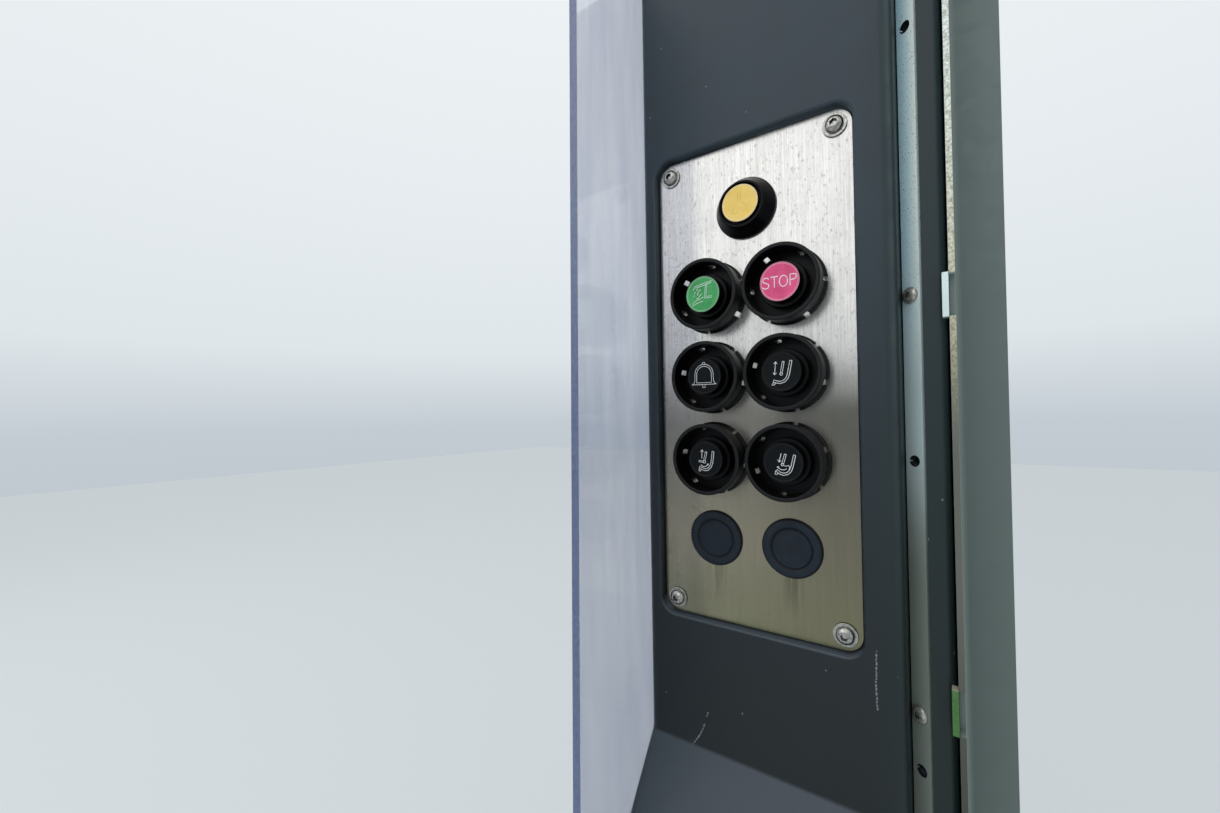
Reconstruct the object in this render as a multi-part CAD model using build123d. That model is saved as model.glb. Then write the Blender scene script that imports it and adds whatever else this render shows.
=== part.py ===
"""Rear operator control station of a refuse truck, in millimetres.

+X is to the operator's right, +Z is up, and the operator stands on the -Y
side. The origin lies on the back face of the carrier, at the centre of its
bolt pattern, level with the middle of the button plate.
"""
import math
import os

from build123d import *

# Push-button: barrel with bezel, sliding cap, lock nut and contact block
BARREL = 22.0
BARREL_WALL = 1.7
BARREL_DEEP = 22.0
HOLE_PLAY = 0.3         # a button hole is this much wider than a barrel
CAP = 23.7
CAP_CLEAR = 0.3         # all round, between a cap or stem and its bore
CAP_EDGE = 1.0
CAP_DISH = 0.4
CAP_FRONT = 15.6        # a collared cap's front, from the plate's front
HORN_FRONT = 11.8       # the top button's front
BEZEL_WALL = 2.55
HORN_BEZEL_WALL = 1.05
BEZEL_TOP = 9.2
BEZEL_FLOOR = 1.5
STEM_DEEP = 10.0
TRAVEL = 4.0
TRAVEL_SPARE = 0.5
NUT_ACROSS = 27.0
NUT_THICK = 5.0
BLOCK_WIDTH = 30.0
BLOCK_HEIGHT = 40.0
BLOCK_DEEP = 28.0
BUTTON_HOLE = BARREL + HOLE_PLAY
STEM = BARREL - 2 * BARREL_WALL - 2 * CAP_CLEAR
BEZEL_OUTER = CAP + 2 * CAP_CLEAR + 2 * BEZEL_WALL
HORN_BEZEL = CAP + 2 * CAP_CLEAR + 2 * HORN_BEZEL_WALL

# Guard collars round six of the buttons
COLLAR_OUTER = 46.9
COLLAR_WALL = 2.65
COLLAR_TALL = 17.0
COLLAR_FLOOR = 2.5
COLLAR_BEAD = 1.0       # the foot stands this much wider
COLLAR_BEAD_TALL = 3.0
COLLAR_EDGE = 0.8
COLLAR_INNER = COLLAR_OUTER - 2 * COLLAR_WALL
SLOT_COUNT = 6          # drain slots, open at the foot
SLOT_WIDTH = 3.4
SLOT_TALL = 7.0

# Raised cone round the top button
CONE_WALL = 1.2         # at its top
CONE_FLARE = 5.2        # its foot stands out this much further
CONE_TALL = 10.4
CONE_RIM = 1.6
CONE_FLOOR = 2.0
CONE_TOP = HORN_BEZEL + 2 * CAP_CLEAR + 2 * CONE_WALL
CONE_FOOT = CONE_TOP + 2 * CONE_FLARE

# Blanking plugs
PLUG = 37.2
PLUG_RING = 33.0
PLUG_DISH = 22.5
PLUG_TALL = 2.6
PLUG_BARREL_DEEP = 14.0

# Button plate: stainless sheet, its front face is the datum for what follows
PLATE_OUT = 75.0        # from the mounting face to the plate's front face
PLATE_THICK = 2.5
PLATE_CORNER = 10.0
PLATE_SCREW_INSET = 9.4
COLUMN_GAP = 1.3        # between the feet of two collars side by side
ROW_GAP = 5.7           # and of two collars one above the other
HORN_PITCH = 55.5       # from the top button down to the first row
SIDE_MARGIN = 39.15     # from a column's middle to the plate's edge
TOP_MARGIN = 45.2
BOTTOM_MARGIN = 55.5
COLUMN_PITCH = COLLAR_OUTER + 2 * COLLAR_BEAD + COLUMN_GAP
ROW_PITCH = COLLAR_OUTER + 2 * COLLAR_BEAD + ROW_GAP
PLATE_WIDTH = COLUMN_PITCH + 2 * SIDE_MARGIN
PLATE_HEIGHT = TOP_MARGIN + HORN_PITCH + 3 * ROW_PITCH + BOTTOM_MARGIN

# Button places, across and up from the plate's centre
HORN_LEVEL = PLATE_HEIGHT / 2 - TOP_MARGIN
TOP_ROW = HORN_LEVEL - HORN_PITCH
PLUG_LEVEL = TOP_ROW - 3 * ROW_PITCH
LEFT, RIGHT = -COLUMN_PITCH / 2, COLUMN_PITCH / 2
COLLARED = {
    "green": (LEFT, TOP_ROW),
    "stop": (RIGHT, TOP_ROW),
    "bell": (LEFT, TOP_ROW - ROW_PITCH),
    "lift": (RIGHT, TOP_ROW - ROW_PITCH),
    "raise": (LEFT, TOP_ROW - 2 * ROW_PITCH),
    "lower": (RIGHT, TOP_ROW - 2 * ROW_PITCH),
}
# How far each collar was turned when it was screwed down, in degrees
SLOT_TURNS = {"green": 24, "stop": 2, "bell": 48, "lift": 43, "raise": 50, "lower": 20}
HORN = (0.0, HORN_LEVEL)
PLUGS = {"left": (LEFT, PLUG_LEVEL), "right": (RIGHT, PLUG_LEVEL)}

# Moulded housing
WALL = 4.0
LEFT_MARGIN = 12.25     # from the plate's left edge to the left side
RIGHT_MARGIN = 21.25
HEAD_ROOM = 155.0       # from the plate's top edge to the top
FOOT_ROOM = 225.0
CREASE_DROP = 87.0      # from the plate's bottom edge to where the face turns outwards
NOSE_REACH = 44.0       # how far the lower part stands out beyond the face
NOSE_TILT = 37.7        # degrees from upright of the sloping part
SIDE_RADIUS = 7.0
TOP_RADIUS = 12.0
CREASE_RADIUS = 5.0
NOSE_RADIUS = 16.0
RECESS_DEPTH = 6.0      # from the face down to the plate's front
RECESS_GAP = 1.0
RECESS_LIP = 2.0
LEDGE_SIDE = 18.0       # seat left round the plate, at the sides
LEDGE_END = 22.0        # and at the top and bottom
INSERT_SLEEVE = 9.0     # threaded inserts in the ledge, for the plate's screws
INSERT_HEAD = 13.0
INSERT_HEAD_THICK = 1.5
INSERT_LONG = 13.0
BOSS = 15.0             # blind bosses inside the left wall, for the guard's screws
BOSS_IN = 7.0
BOSS_FLOOR = 2.0
FOOT_IN = 4.5           # feet inside the back edge, screwed from behind
FOOT_LONG = 24.0
FOOT_DEEP = 15.0
FOOT_SCREW_IN = 1.0     # the screw's middle, in from the wall's inner face
FOOT_PITCH = 170.0      # between the feet of the left side
FOOT_SPAN = 90.0        # between the feet of each end
FACE_LEFT = PLATE_WIDTH / 2 + LEFT_MARGIN
FACE_RIGHT = PLATE_WIDTH / 2 + RIGHT_MARGIN
FACE_TOP = PLATE_HEIGHT / 2 + HEAD_ROOM
FACE_BOTTOM = -PLATE_HEIGHT / 2 - FOOT_ROOM
CREASE_LEVEL = -PLATE_HEIGHT / 2 - CREASE_DROP

# Narrow moulded edge beside the housing, and the bevelled strip that clamps it
STRIP_WIDTH = 11.3
STRIP_THICK = 2.0
STRIP_TILT = 38.0       # degrees, its face turned towards the housing
STRIP_BACK = 16.0       # its inner edge, behind the plate's front
STRIP_GAP = 0.6         # between the housing's side and the strip
STRIP_HOLE = 6.2
STRIP_HOLES = (200.7, -48.4, -222.6, 292.0, -352.0)
STRIP_SCREWS = (46.0, -191.2, 268.0, -330.0)
STRIP_SCREW_LONG = 8.0
TRIM_REACH = 22.2       # from the housing's side to the trim's far side
TRIM_BACK = 8.0         # its face, behind the plate's front
TRIM_RADIUS = 4.0
TRIM_WALL = 2.5
TRIM_RIGHT = FACE_RIGHT + TRIM_REACH

# Carrier: flat galvanised sheet with a folded angle welded along its right side
SHEET = 3.0
SHEET_CORNER = 6.0
BEND = 3.0              # inner radius of the fold
WEB_GAP = 0.8           # between the trim and the angle's web
WEB_BACK = 2.0          # the web's front edge, behind the plate's front
FLANGE_WIDTH = 25.0     # the angle's foot, beyond the web
BOLT_SPAN_X = 100.0
BOLT_SPAN_Z = 500.0
BOLT_HOLE = 9.0
CABLE_HOLE = 32.0
CABLE_LEVEL = -190.0
TAB_WIDTH = 23.0
TAB_PROUD = 1.0
TAB_CLEAR = 0.5         # between a tab and the trim's face
TAB_LEVELS = {"upper": 42.0, "lower": -179.5}
WEB_INNER = TRIM_RIGHT + WEB_GAP
WEB_OUT = PLATE_OUT - WEB_BACK
TAB_DEPTH = WEB_OUT + TAB_PROUD - (PLATE_OUT - TRIM_BACK) - TAB_CLEAR

# Clear guard on the outboard side
GUARD_THICK = 6.0
GUARD_TOP_DROP = 15.0   # below the housing's top
GUARD_FOOT_RISE = 40.0  # above its bottom
GUARD_OUT_TOP = 154.0   # free edge, from the mounting face, at the top
GUARD_OUT_BOTTOM = 164.0
GUARD_BACK = 8.0
GUARD_CORNER = 22.0
GUARD_SCREW_PITCH = 170.0
GUARD_SCREW_OUT = 45.0
GUARD_TOP = FACE_TOP - GUARD_TOP_DROP
GUARD_BOTTOM = FACE_BOTTOM + GUARD_FOOT_RISE

# Screws: button heads with a hexagon socket, and countersunk ones in the feet
M6_HEAD, M6_HEAD_TALL, M6_SHANK, M6_SOCKET = 10.5, 3.3, 6.0, 4.0
M5_HEAD, M5_HEAD_TALL, M5_SHANK, M5_SOCKET = 9.5, 2.75, 5.0, 3.0
FOOT_SCREW_HEAD, FOOT_SCREW_HEAD_DEEP, FOOT_SCREW_SHANK, FOOT_SCREW_SOCKET = 8.1, 2.4, 4.2, 2.5
FOOT_SCREW_LONG = 14.0
PLATE_SCREW_LONG = 16.0
SCREW_SPARE = 0.5       # room past a screw's tip
WASHER = 13.9
WASHER_THICK = 1.2
GUARD_WASHER = 18.0
HOLE_CLEAR = 0.6

FACE_OUT = PLATE_OUT + RECESS_DEPTH
NOSE_OUT = FACE_OUT + NOSE_REACH


def on_plate(x, z):
    """Local +Z points out of the plate, towards the operator."""
    return Location((x, -PLATE_OUT, z), (90, 0, 0))


def turned(points):
    """A solid of revolution about local Z from (radius, height) points."""
    outline = Polyline(*[(r, 0, h) for r, h in points], close=True)
    return revolve(make_face(outline), Axis.Z)


def disc(diameter, low, high):
    """A round bar along local Z between two heights."""
    bar = Cylinder(diameter / 2, high - low, align=(Align.CENTER, Align.CENTER, Align.MIN))
    return Pos(0, 0, low) * bar


def block(x0, x1, y0, y1, z0, z1):
    """A box between six planes."""
    size = (x1 - x0, y1 - y0, z1 - z0)
    return Pos((x0 + x1) / 2, (y0 + y1) / 2, (z0 + z1) / 2) * Box(*size)


def corner_places():
    """The four screw places of the button plate."""
    across = PLATE_WIDTH / 2 - PLATE_SCREW_INSET
    up = PLATE_HEIGHT / 2 - PLATE_SCREW_INSET
    return [(sx * across, sz * up) for sx in (-1, 1) for sz in (-1, 1)]


def rounded_slab(width, height, corner, low, high):
    """A rounded rectangle across the plate's plane, between two depths."""
    sketch = RectangleRounded(width, height, corner)
    return on_plate(0, 0) * Pos(0, 0, low) * extrude(sketch, high - low)


def housing_body(inset):
    """The housing's outer form, with every wall moved in by inset."""
    tilt = math.radians(NOSE_TILT)
    drop = inset * math.tan(tilt / 2)
    nose_top = CREASE_LEVEL - NOSE_REACH / math.tan(tilt)
    front, nose = FACE_OUT - inset, NOSE_OUT - inset
    top, bottom = FACE_TOP - inset, FACE_BOTTOM + inset
    back = SHEET if inset == 0 else 0
    corners = [
        (-back, bottom),
        (-nose, bottom),
        (-nose, nose_top - drop),
        (-front, CREASE_LEVEL - drop),
        (-front, top),
        (-back, top),
    ]
    radii = [NOSE_RADIUS - inset, NOSE_RADIUS - inset, CREASE_RADIUS + inset, TOP_RADIUS - inset]
    outline = Polyline(*corners, close=True)
    side = make_face(outline)
    for (y, z), radius in zip(corners[1:5], radii):
        near = [v for v in side.vertices() if abs(v.X - y) < 0.01 and abs(v.Y - z) < 0.01]
        side = fillet(near, radius)
    left, right = -FACE_LEFT + inset, FACE_RIGHT - inset
    body = extrude(Plane.YZ.offset(left) * side, right - left)
    rims = []
    for side_face in (body.faces().sort_by(Axis.X)[0], body.faces().sort_by(Axis.X)[-1]):
        rims += [e for e in side_face.edges() if e.center().Y < -back - 0.01]
    return fillet(rims, SIDE_RADIUS - inset)


def make_housing():
    """Hollow moulded cover, open at the back, with the plate's recess."""
    outer = housing_body(0)
    shell = outer - housing_body(WALL)
    seat = PLATE_THICK + WALL
    pan_width = PLATE_WIDTH + 2 * (RECESS_GAP + WALL)
    pan_height = PLATE_HEIGHT + 2 * (RECESS_GAP + WALL)
    pan = rounded_slab(pan_width, pan_height, PLATE_CORNER + RECESS_GAP + WALL, -seat, RECESS_DEPTH)
    shell += pan & outer
    pocket_width = PLATE_WIDTH + 2 * RECESS_GAP
    pocket_height = PLATE_HEIGHT + 2 * RECESS_GAP
    corner = PLATE_CORNER + RECESS_GAP
    shell -= rounded_slab(pocket_width, pocket_height, corner, -PLATE_THICK, RECESS_DEPTH + 1)
    mouth = [e for e in shell.edges() if abs(e.center().Y + FACE_OUT) < 0.01
             and abs(e.center().X) <= pocket_width / 2 + 0.01
             and abs(e.center().Z) <= pocket_height / 2 + 0.01
             and e.bounding_box().size.Y < 0.01]
    shell = fillet(mouth, RECESS_LIP)
    window = rounded_slab(PLATE_WIDTH - 2 * LEDGE_SIDE, PLATE_HEIGHT - 2 * LEDGE_END,
                          PLATE_CORNER, -seat - 1, 0)
    shell -= window
    for x, z in corner_places():
        shell -= on_plate(x, z) * disc(INSERT_SLEEVE, -seat - 1, 0)
    foot = block(FOOT_SCREW_IN - FOOT_IN, FOOT_SCREW_IN + WALL / 2, -FOOT_LONG / 2, FOOT_LONG / 2,
                 -SHEET - FOOT_DEEP, -SHEET)
    pilot = disc(FOOT_SCREW_SHANK, -FOOT_SCREW_LONG - SCREW_SPARE, 0)
    for place in foot_places():
        shell = shell + place * foot - place * pilot
    boss = disc(BOSS, -WALL - BOSS_IN, -WALL / 2)
    hole = disc(M6_SHANK, BOSS_FLOOR - WALL - BOSS_IN, WALL)
    for place in guard_screw_places():
        shell = shell + place * boss - place * hole
    return shell


def make_insert():
    """Threaded insert pressed into the ledge from behind."""
    seat = -PLATE_THICK - WALL
    return disc(INSERT_SLEEVE, seat - INSERT_LONG, -PLATE_THICK) + disc(
        INSERT_HEAD, seat - INSERT_HEAD_THICK, seat) - disc(M6_SHANK, seat - INSERT_LONG - 1, 0)


def make_plate():
    """Stainless plate with its nine button holes and four screw holes."""
    plate = rounded_slab(PLATE_WIDTH, PLATE_HEIGHT, PLATE_CORNER, -PLATE_THICK, 0)
    for x, z in [*COLLARED.values(), HORN, *PLUGS.values()]:
        plate -= on_plate(x, z) * disc(BUTTON_HOLE, -PLATE_THICK - 1, 1)
    for x, z in corner_places():
        plate -= on_plate(x, z) * disc(M6_SHANK + HOLE_CLEAR, -PLATE_THICK - 1, 1)
    return plate


def make_collar(x, z, first_turn):
    """Tall black guard ring with its floor, foot bead and drain slots."""
    inner, outer = COLLAR_INNER / 2, COLLAR_OUTER / 2
    hole = BUTTON_HOLE / 2
    foot = outer + COLLAR_BEAD
    ring = turned([
        (hole, 0), (foot, 0), (foot, COLLAR_BEAD_TALL - COLLAR_BEAD), (outer, COLLAR_BEAD_TALL),
        (outer, COLLAR_TALL - COLLAR_EDGE), (outer - COLLAR_EDGE, COLLAR_TALL),
        (inner + COLLAR_EDGE / 2, COLLAR_TALL), (inner, COLLAR_TALL - COLLAR_EDGE),
        (inner, COLLAR_FLOOR), (hole, COLLAR_FLOOR),
    ])
    slot = block(inner - COLLAR_EDGE, foot + 1, -SLOT_WIDTH / 2, SLOT_WIDTH / 2, -1, SLOT_TALL)
    for step in range(SLOT_COUNT):
        ring -= Rot(0, 0, first_turn + step * 360 / SLOT_COUNT) * slot
    return on_plate(x, z) * ring


def make_cone():
    """Raised conical bezel of the top button."""
    hole, foot, top = BUTTON_HOLE / 2, CONE_FOOT / 2, CONE_TOP / 2
    bore = HORN_BEZEL / 2 + CAP_CLEAR
    return on_plate(*HORN) * turned([
        (hole, 0), (foot, 0), (foot, CONE_RIM), (foot - 0.6, CONE_RIM + 1.2),
        (top + 0.8, CONE_TALL - 0.8), (top, CONE_TALL), (bore, CONE_TALL),
        (bore, CONE_FLOOR), (hole, CONE_FLOOR),
    ])


def make_barrel(x, z, floor, bezel):
    """Threaded barrel with the bezel ring that the cap slides in."""
    bore = CAP / 2 + CAP_CLEAR
    stem_bore = STEM / 2 + CAP_CLEAR
    seat = floor + BEZEL_FLOOR
    barrel = turned([
        (0, -BARREL_DEEP), (BARREL / 2, -BARREL_DEEP), (BARREL / 2, floor), (bezel / 2, floor),
        (bezel / 2, BEZEL_TOP - 0.6), (bezel / 2 - 0.6, BEZEL_TOP), (bore, BEZEL_TOP),
        (bore, seat), (stem_bore, seat), (stem_bore, stem_low() - 2), (0, stem_low() - 2),
    ])
    return on_plate(x, z) * barrel


def stem_low():
    """Lowest point of a stem when its cap is pressed right in."""
    return -STEM_DEEP - TRAVEL


def make_cap(x, z, floor, front):
    """Push cap: dished disc, skirt in the bezel and a stem in the barrel."""
    rim, stem = CAP / 2, STEM / 2
    skirt = floor + BEZEL_FLOOR + TRAVEL + TRAVEL_SPARE
    cap = turned([
        (0, -STEM_DEEP), (stem, -STEM_DEEP), (stem, skirt), (rim, skirt),
        (rim, front - CAP_EDGE), (rim - CAP_EDGE * 0.3, front - CAP_EDGE * 0.3),
        (rim - CAP_EDGE, front), (rim - 2 * CAP_EDGE, front - CAP_DISH), (0, front - CAP_DISH),
    ])
    return on_plate(x, z) * cap


def make_nut(x, z):
    """Hexagon lock nut behind the plate."""
    across_corners = NUT_ACROSS / 2 / math.cos(math.radians(30))
    nut = extrude(RegularPolygon(across_corners, 6), NUT_THICK)
    nut -= disc(BARREL, -1, NUT_THICK + 1)
    return on_plate(x, z) * Pos(0, 0, -PLATE_THICK - NUT_THICK) * nut


def make_block(x, z):
    """Contact block behind a barrel, with two terminal grooves."""
    low = -BARREL_DEEP - BLOCK_DEEP
    body = block(-BLOCK_WIDTH / 2, BLOCK_WIDTH / 2, -BLOCK_HEIGHT / 2, BLOCK_HEIGHT / 2,
                 low, -BARREL_DEEP)
    groove_deep, groove_wide = 6.0, 8.0
    for side in (-1, 1):
        edge = side * BLOCK_HEIGHT / 2
        body -= Pos(0, edge, low) * Box(BLOCK_WIDTH - 6, groove_wide, 2 * groove_deep)
    return on_plate(x, z) * body


def make_plug(x, z):
    """Rubber blanking plug: raised ring, dished centre, short barrel."""
    edge, ring, dish = PLUG / 2, PLUG_RING / 2, PLUG_DISH / 2
    return on_plate(x, z) * turned([
        (0, -PLUG_BARREL_DEEP), (BARREL / 2, -PLUG_BARREL_DEEP), (BARREL / 2, 0), (edge, 0),
        (edge, 0.8), (edge - 0.5, 1.5), (ring, PLUG_TALL), (dish + 1.2, PLUG_TALL),
        (dish, PLUG_TALL - 1.2), (0, PLUG_TALL - 1.2),
    ])


def button_screw(head, tall, shank, socket, length):
    """Domed screw along local Z, its head's seat at height 0."""
    screw = turned([
        (0, -length), (shank / 2 - 0.5, -length), (shank / 2, -length + 0.5), (shank / 2, 0),
        (head / 2, 0), (head / 2, tall * 0.25), (head * 0.42, tall * 0.62),
        (head * 0.27, tall * 0.92), (socket * 0.6, tall), (0, tall),
    ])
    key = extrude(RegularPolygon(socket / 2 / math.cos(math.radians(30)), 6), tall)
    return screw - Pos(0, 0, tall * 0.4) * key


def washer(diameter, shank):
    """Flat washer on local Z = 0."""
    return disc(diameter, 0, WASHER_THICK) - disc(shank + HOLE_CLEAR, -1, WASHER_THICK + 1)


def make_carrier():
    """Flat sheet behind everything, with its bolt holes and cable hole."""
    right = WEB_INNER + SHEET + FLANGE_WIDTH
    width, height = right + FACE_LEFT, FACE_TOP - FACE_BOTTOM
    middle = ((right - FACE_LEFT) / 2, 0, (FACE_TOP + FACE_BOTTOM) / 2)
    sheet = Location(middle, (90, 0, 0)) * extrude(RectangleRounded(width, height, SHEET_CORNER), SHEET)
    for x in (-BOLT_SPAN_X / 2, BOLT_SPAN_X / 2):
        for z in (-BOLT_SPAN_Z / 2, BOLT_SPAN_Z / 2):
            sheet -= Location((x, 0, z), (90, 0, 0)) * disc(BOLT_HOLE, -SHEET, 2 * SHEET)
    for place in foot_places():
        sheet -= place * turned([
            (0, -2 * SHEET), (FOOT_SCREW_SHANK / 2, -2 * SHEET),
            (FOOT_SCREW_SHANK / 2, -FOOT_SCREW_HEAD_DEEP), (FOOT_SCREW_HEAD / 2, 0), (0, 0),
        ])
    return sheet - Location((0, 0, CABLE_LEVEL), (90, 0, 0)) * disc(CABLE_HOLE, -SHEET, 2 * SHEET)


def folded_angle(foot, leg, length):
    """Angle along local +Z: its heel at the origin, foot along +X, leg along +Y."""
    section = Polyline((0, 0), (foot, 0), (foot, SHEET), (SHEET, SHEET), (SHEET, leg), (0, leg), close=True)
    face = make_face(section)
    heel = face.vertices().sort_by_distance((0, 0))[0]
    face = fillet(heel, BEND + SHEET)
    crook = face.vertices().sort_by_distance((SHEET, SHEET))[0]
    return extrude(fillet(crook, BEND), length)


def make_web_angle():
    """Right-hand angle: the web's bare front edge shows beside the trim."""
    angle = folded_angle(SHEET + FLANGE_WIDTH, WEB_OUT - SHEET, FACE_TOP - FACE_BOTTOM)
    web = Pos(WEB_INNER, -SHEET, FACE_BOTTOM) * mirror(angle, Plane.XZ)
    for level in TAB_LEVELS.values():
        web -= block(WEB_INNER - 1, WEB_INNER + SHEET + 1, -WEB_OUT - 1, -WEB_OUT + TAB_DEPTH,
                     level - TAB_WIDTH / 2, level + TAB_WIDTH / 2)
    return web


def foot_places():
    """On the carrier's back face, local +Z pointing out of it and +X to the housing's wall."""
    seat = WALL + FOOT_SCREW_IN
    spots = [(-FACE_LEFT + seat, step * FOOT_PITCH, 180) for step in (-1, 0, 1)]
    for x in (-FOOT_SPAN / 2, FOOT_SPAN / 2):
        spots += [(x, FACE_TOP - seat, -90), (x, FACE_BOTTOM + seat, 90)]
    return [Location((x, 0, z), (-90, 0, 0)) * Rot(0, 0, turn) for x, z, turn in spots]


def make_foot_screw():
    """Countersunk screw along local Z, its head flush with height 0."""
    shank = FOOT_SCREW_SHANK / 2
    screw = turned([
        (0, -FOOT_SCREW_LONG), (shank - 0.5, -FOOT_SCREW_LONG), (shank, 0.5 - FOOT_SCREW_LONG),
        (shank, -FOOT_SCREW_HEAD_DEEP), (FOOT_SCREW_HEAD / 2, 0), (0, 0),
    ])
    key = RegularPolygon(FOOT_SCREW_SOCKET / 2 / math.cos(math.radians(30)), 6)
    return screw - Pos(0, 0, -FOOT_SCREW_HEAD_DEEP / 2) * extrude(key, FOOT_SCREW_HEAD_DEEP)


def make_tab(level):
    """Joggled tab, one sheet's thickness inboard of the web's edge."""
    front = WEB_OUT + TAB_PROUD
    return block(WEB_INNER - SHEET, WEB_INNER, -front, -front + TAB_DEPTH,
                 level - TAB_WIDTH / 2 - 0.5, level + TAB_WIDTH / 2 + 0.5)


def guard_screw_places():
    """On the housing's left side, local +Z pointing out of it."""
    levels = [step * GUARD_SCREW_PITCH for step in (1.5, 0.5, -0.5, -1.5)]
    return [Location((-FACE_LEFT, -GUARD_SCREW_OUT, z), (0, -90, 0)) for z in levels]


def make_guard():
    """Clear upright sheet on the left side, standing out past the buttons."""
    corners = [
        (-GUARD_BACK, GUARD_BOTTOM), (-GUARD_OUT_BOTTOM, GUARD_BOTTOM),
        (-GUARD_OUT_TOP, GUARD_TOP), (-GUARD_BACK, GUARD_TOP),
    ]
    sheet = make_face(Polyline(*corners, close=True))
    free = [v for v in sheet.vertices() if v.X < -GUARD_BACK - 1]
    sheet = fillet(free, GUARD_CORNER)
    left = -FACE_LEFT - GUARD_THICK
    guard = extrude(Plane.YZ.offset(left) * sheet, GUARD_THICK)
    for place in guard_screw_places():
        guard -= place * disc(M6_SHANK + HOLE_CLEAR, -1, GUARD_THICK + 1)
    return guard


def strip_frame():
    """Origin on the strip's inner edge; +X across it, +Y along, +Z outwards."""
    corner = Location((FACE_RIGHT + STRIP_GAP, -PLATE_OUT + STRIP_BACK, 0), (90, 0, 0))
    return corner * Location((0, 0, 0), (0, -STRIP_TILT, 0))


def strip_place(level):
    """A point on the strip's middle line, at a level."""
    return strip_frame() * Location((STRIP_WIDTH / 2, level, 0))


def make_strip():
    """Galvanised flat strip with its row of holes."""
    middle = (FACE_TOP + FACE_BOTTOM) / 2
    length = FACE_TOP - FACE_BOTTOM
    bar = Pos(STRIP_WIDTH / 2, middle, -STRIP_THICK / 2) * Box(STRIP_WIDTH, length, STRIP_THICK)
    strip = strip_frame() * bar
    for level in STRIP_HOLES:
        strip -= strip_place(level) * Cylinder(STRIP_HOLE / 2, 4 * STRIP_THICK)
    for level in STRIP_SCREWS:
        strip -= strip_place(level) * Cylinder((M5_SHANK + HOLE_CLEAR) / 2, 4 * STRIP_THICK)
    return strip


def make_trim():
    """Narrow moulded edge, bevelled to carry the strip, hollow and open behind."""
    tilt = math.radians(STRIP_TILT)
    lean_x, lean_y = STRIP_THICK * math.sin(tilt), STRIP_THICK * math.cos(tilt)
    x0 = FACE_RIGHT + STRIP_GAP + lean_x
    y0 = -PLATE_OUT + STRIP_BACK + lean_y
    x1 = x0 + STRIP_WIDTH * math.cos(tilt)
    y1 = y0 - STRIP_WIDTH * math.sin(tilt)
    front = -PLATE_OUT + TRIM_BACK
    outline = [(x0, -SHEET), (x0, y0), (x1, y1), (x1, front), (TRIM_RIGHT, front), (TRIM_RIGHT, -SHEET)]
    section = make_face(Polyline(*outline, close=True))
    nose = [v for v in section.vertices() if v.X > TRIM_RIGHT - 0.1 and v.Y < front + 0.1]
    section = fillet(nose, TRIM_RADIUS)
    length = FACE_TOP - FACE_BOTTOM
    trim = Pos(0, 0, FACE_BOTTOM) * extrude(section, length)
    thick = TRIM_WALL / math.cos(tilt)
    room = [(x0 + TRIM_WALL, 1), (x0 + TRIM_WALL, y0 + thick), (x1 + TRIM_WALL, y1 + thick),
            (TRIM_RIGHT - TRIM_WALL, front + 2 * TRIM_WALL), (TRIM_RIGHT - TRIM_WALL, 1)]
    hollow = extrude(make_face(Polyline(*room, close=True)), length - 2 * TRIM_WALL)
    trim -= Pos(0, 0, FACE_BOTTOM + TRIM_WALL) * hollow
    for level in STRIP_SCREWS:
        trim -= strip_place(level) * disc(M5_SHANK, -STRIP_SCREW_LONG, 0)
    return trim


def gather(shapes):
    """Like solids that share a node."""
    solids = []
    for shape in shapes:
        solids += shape.solids()
    return Compound(children=solids)


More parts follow.
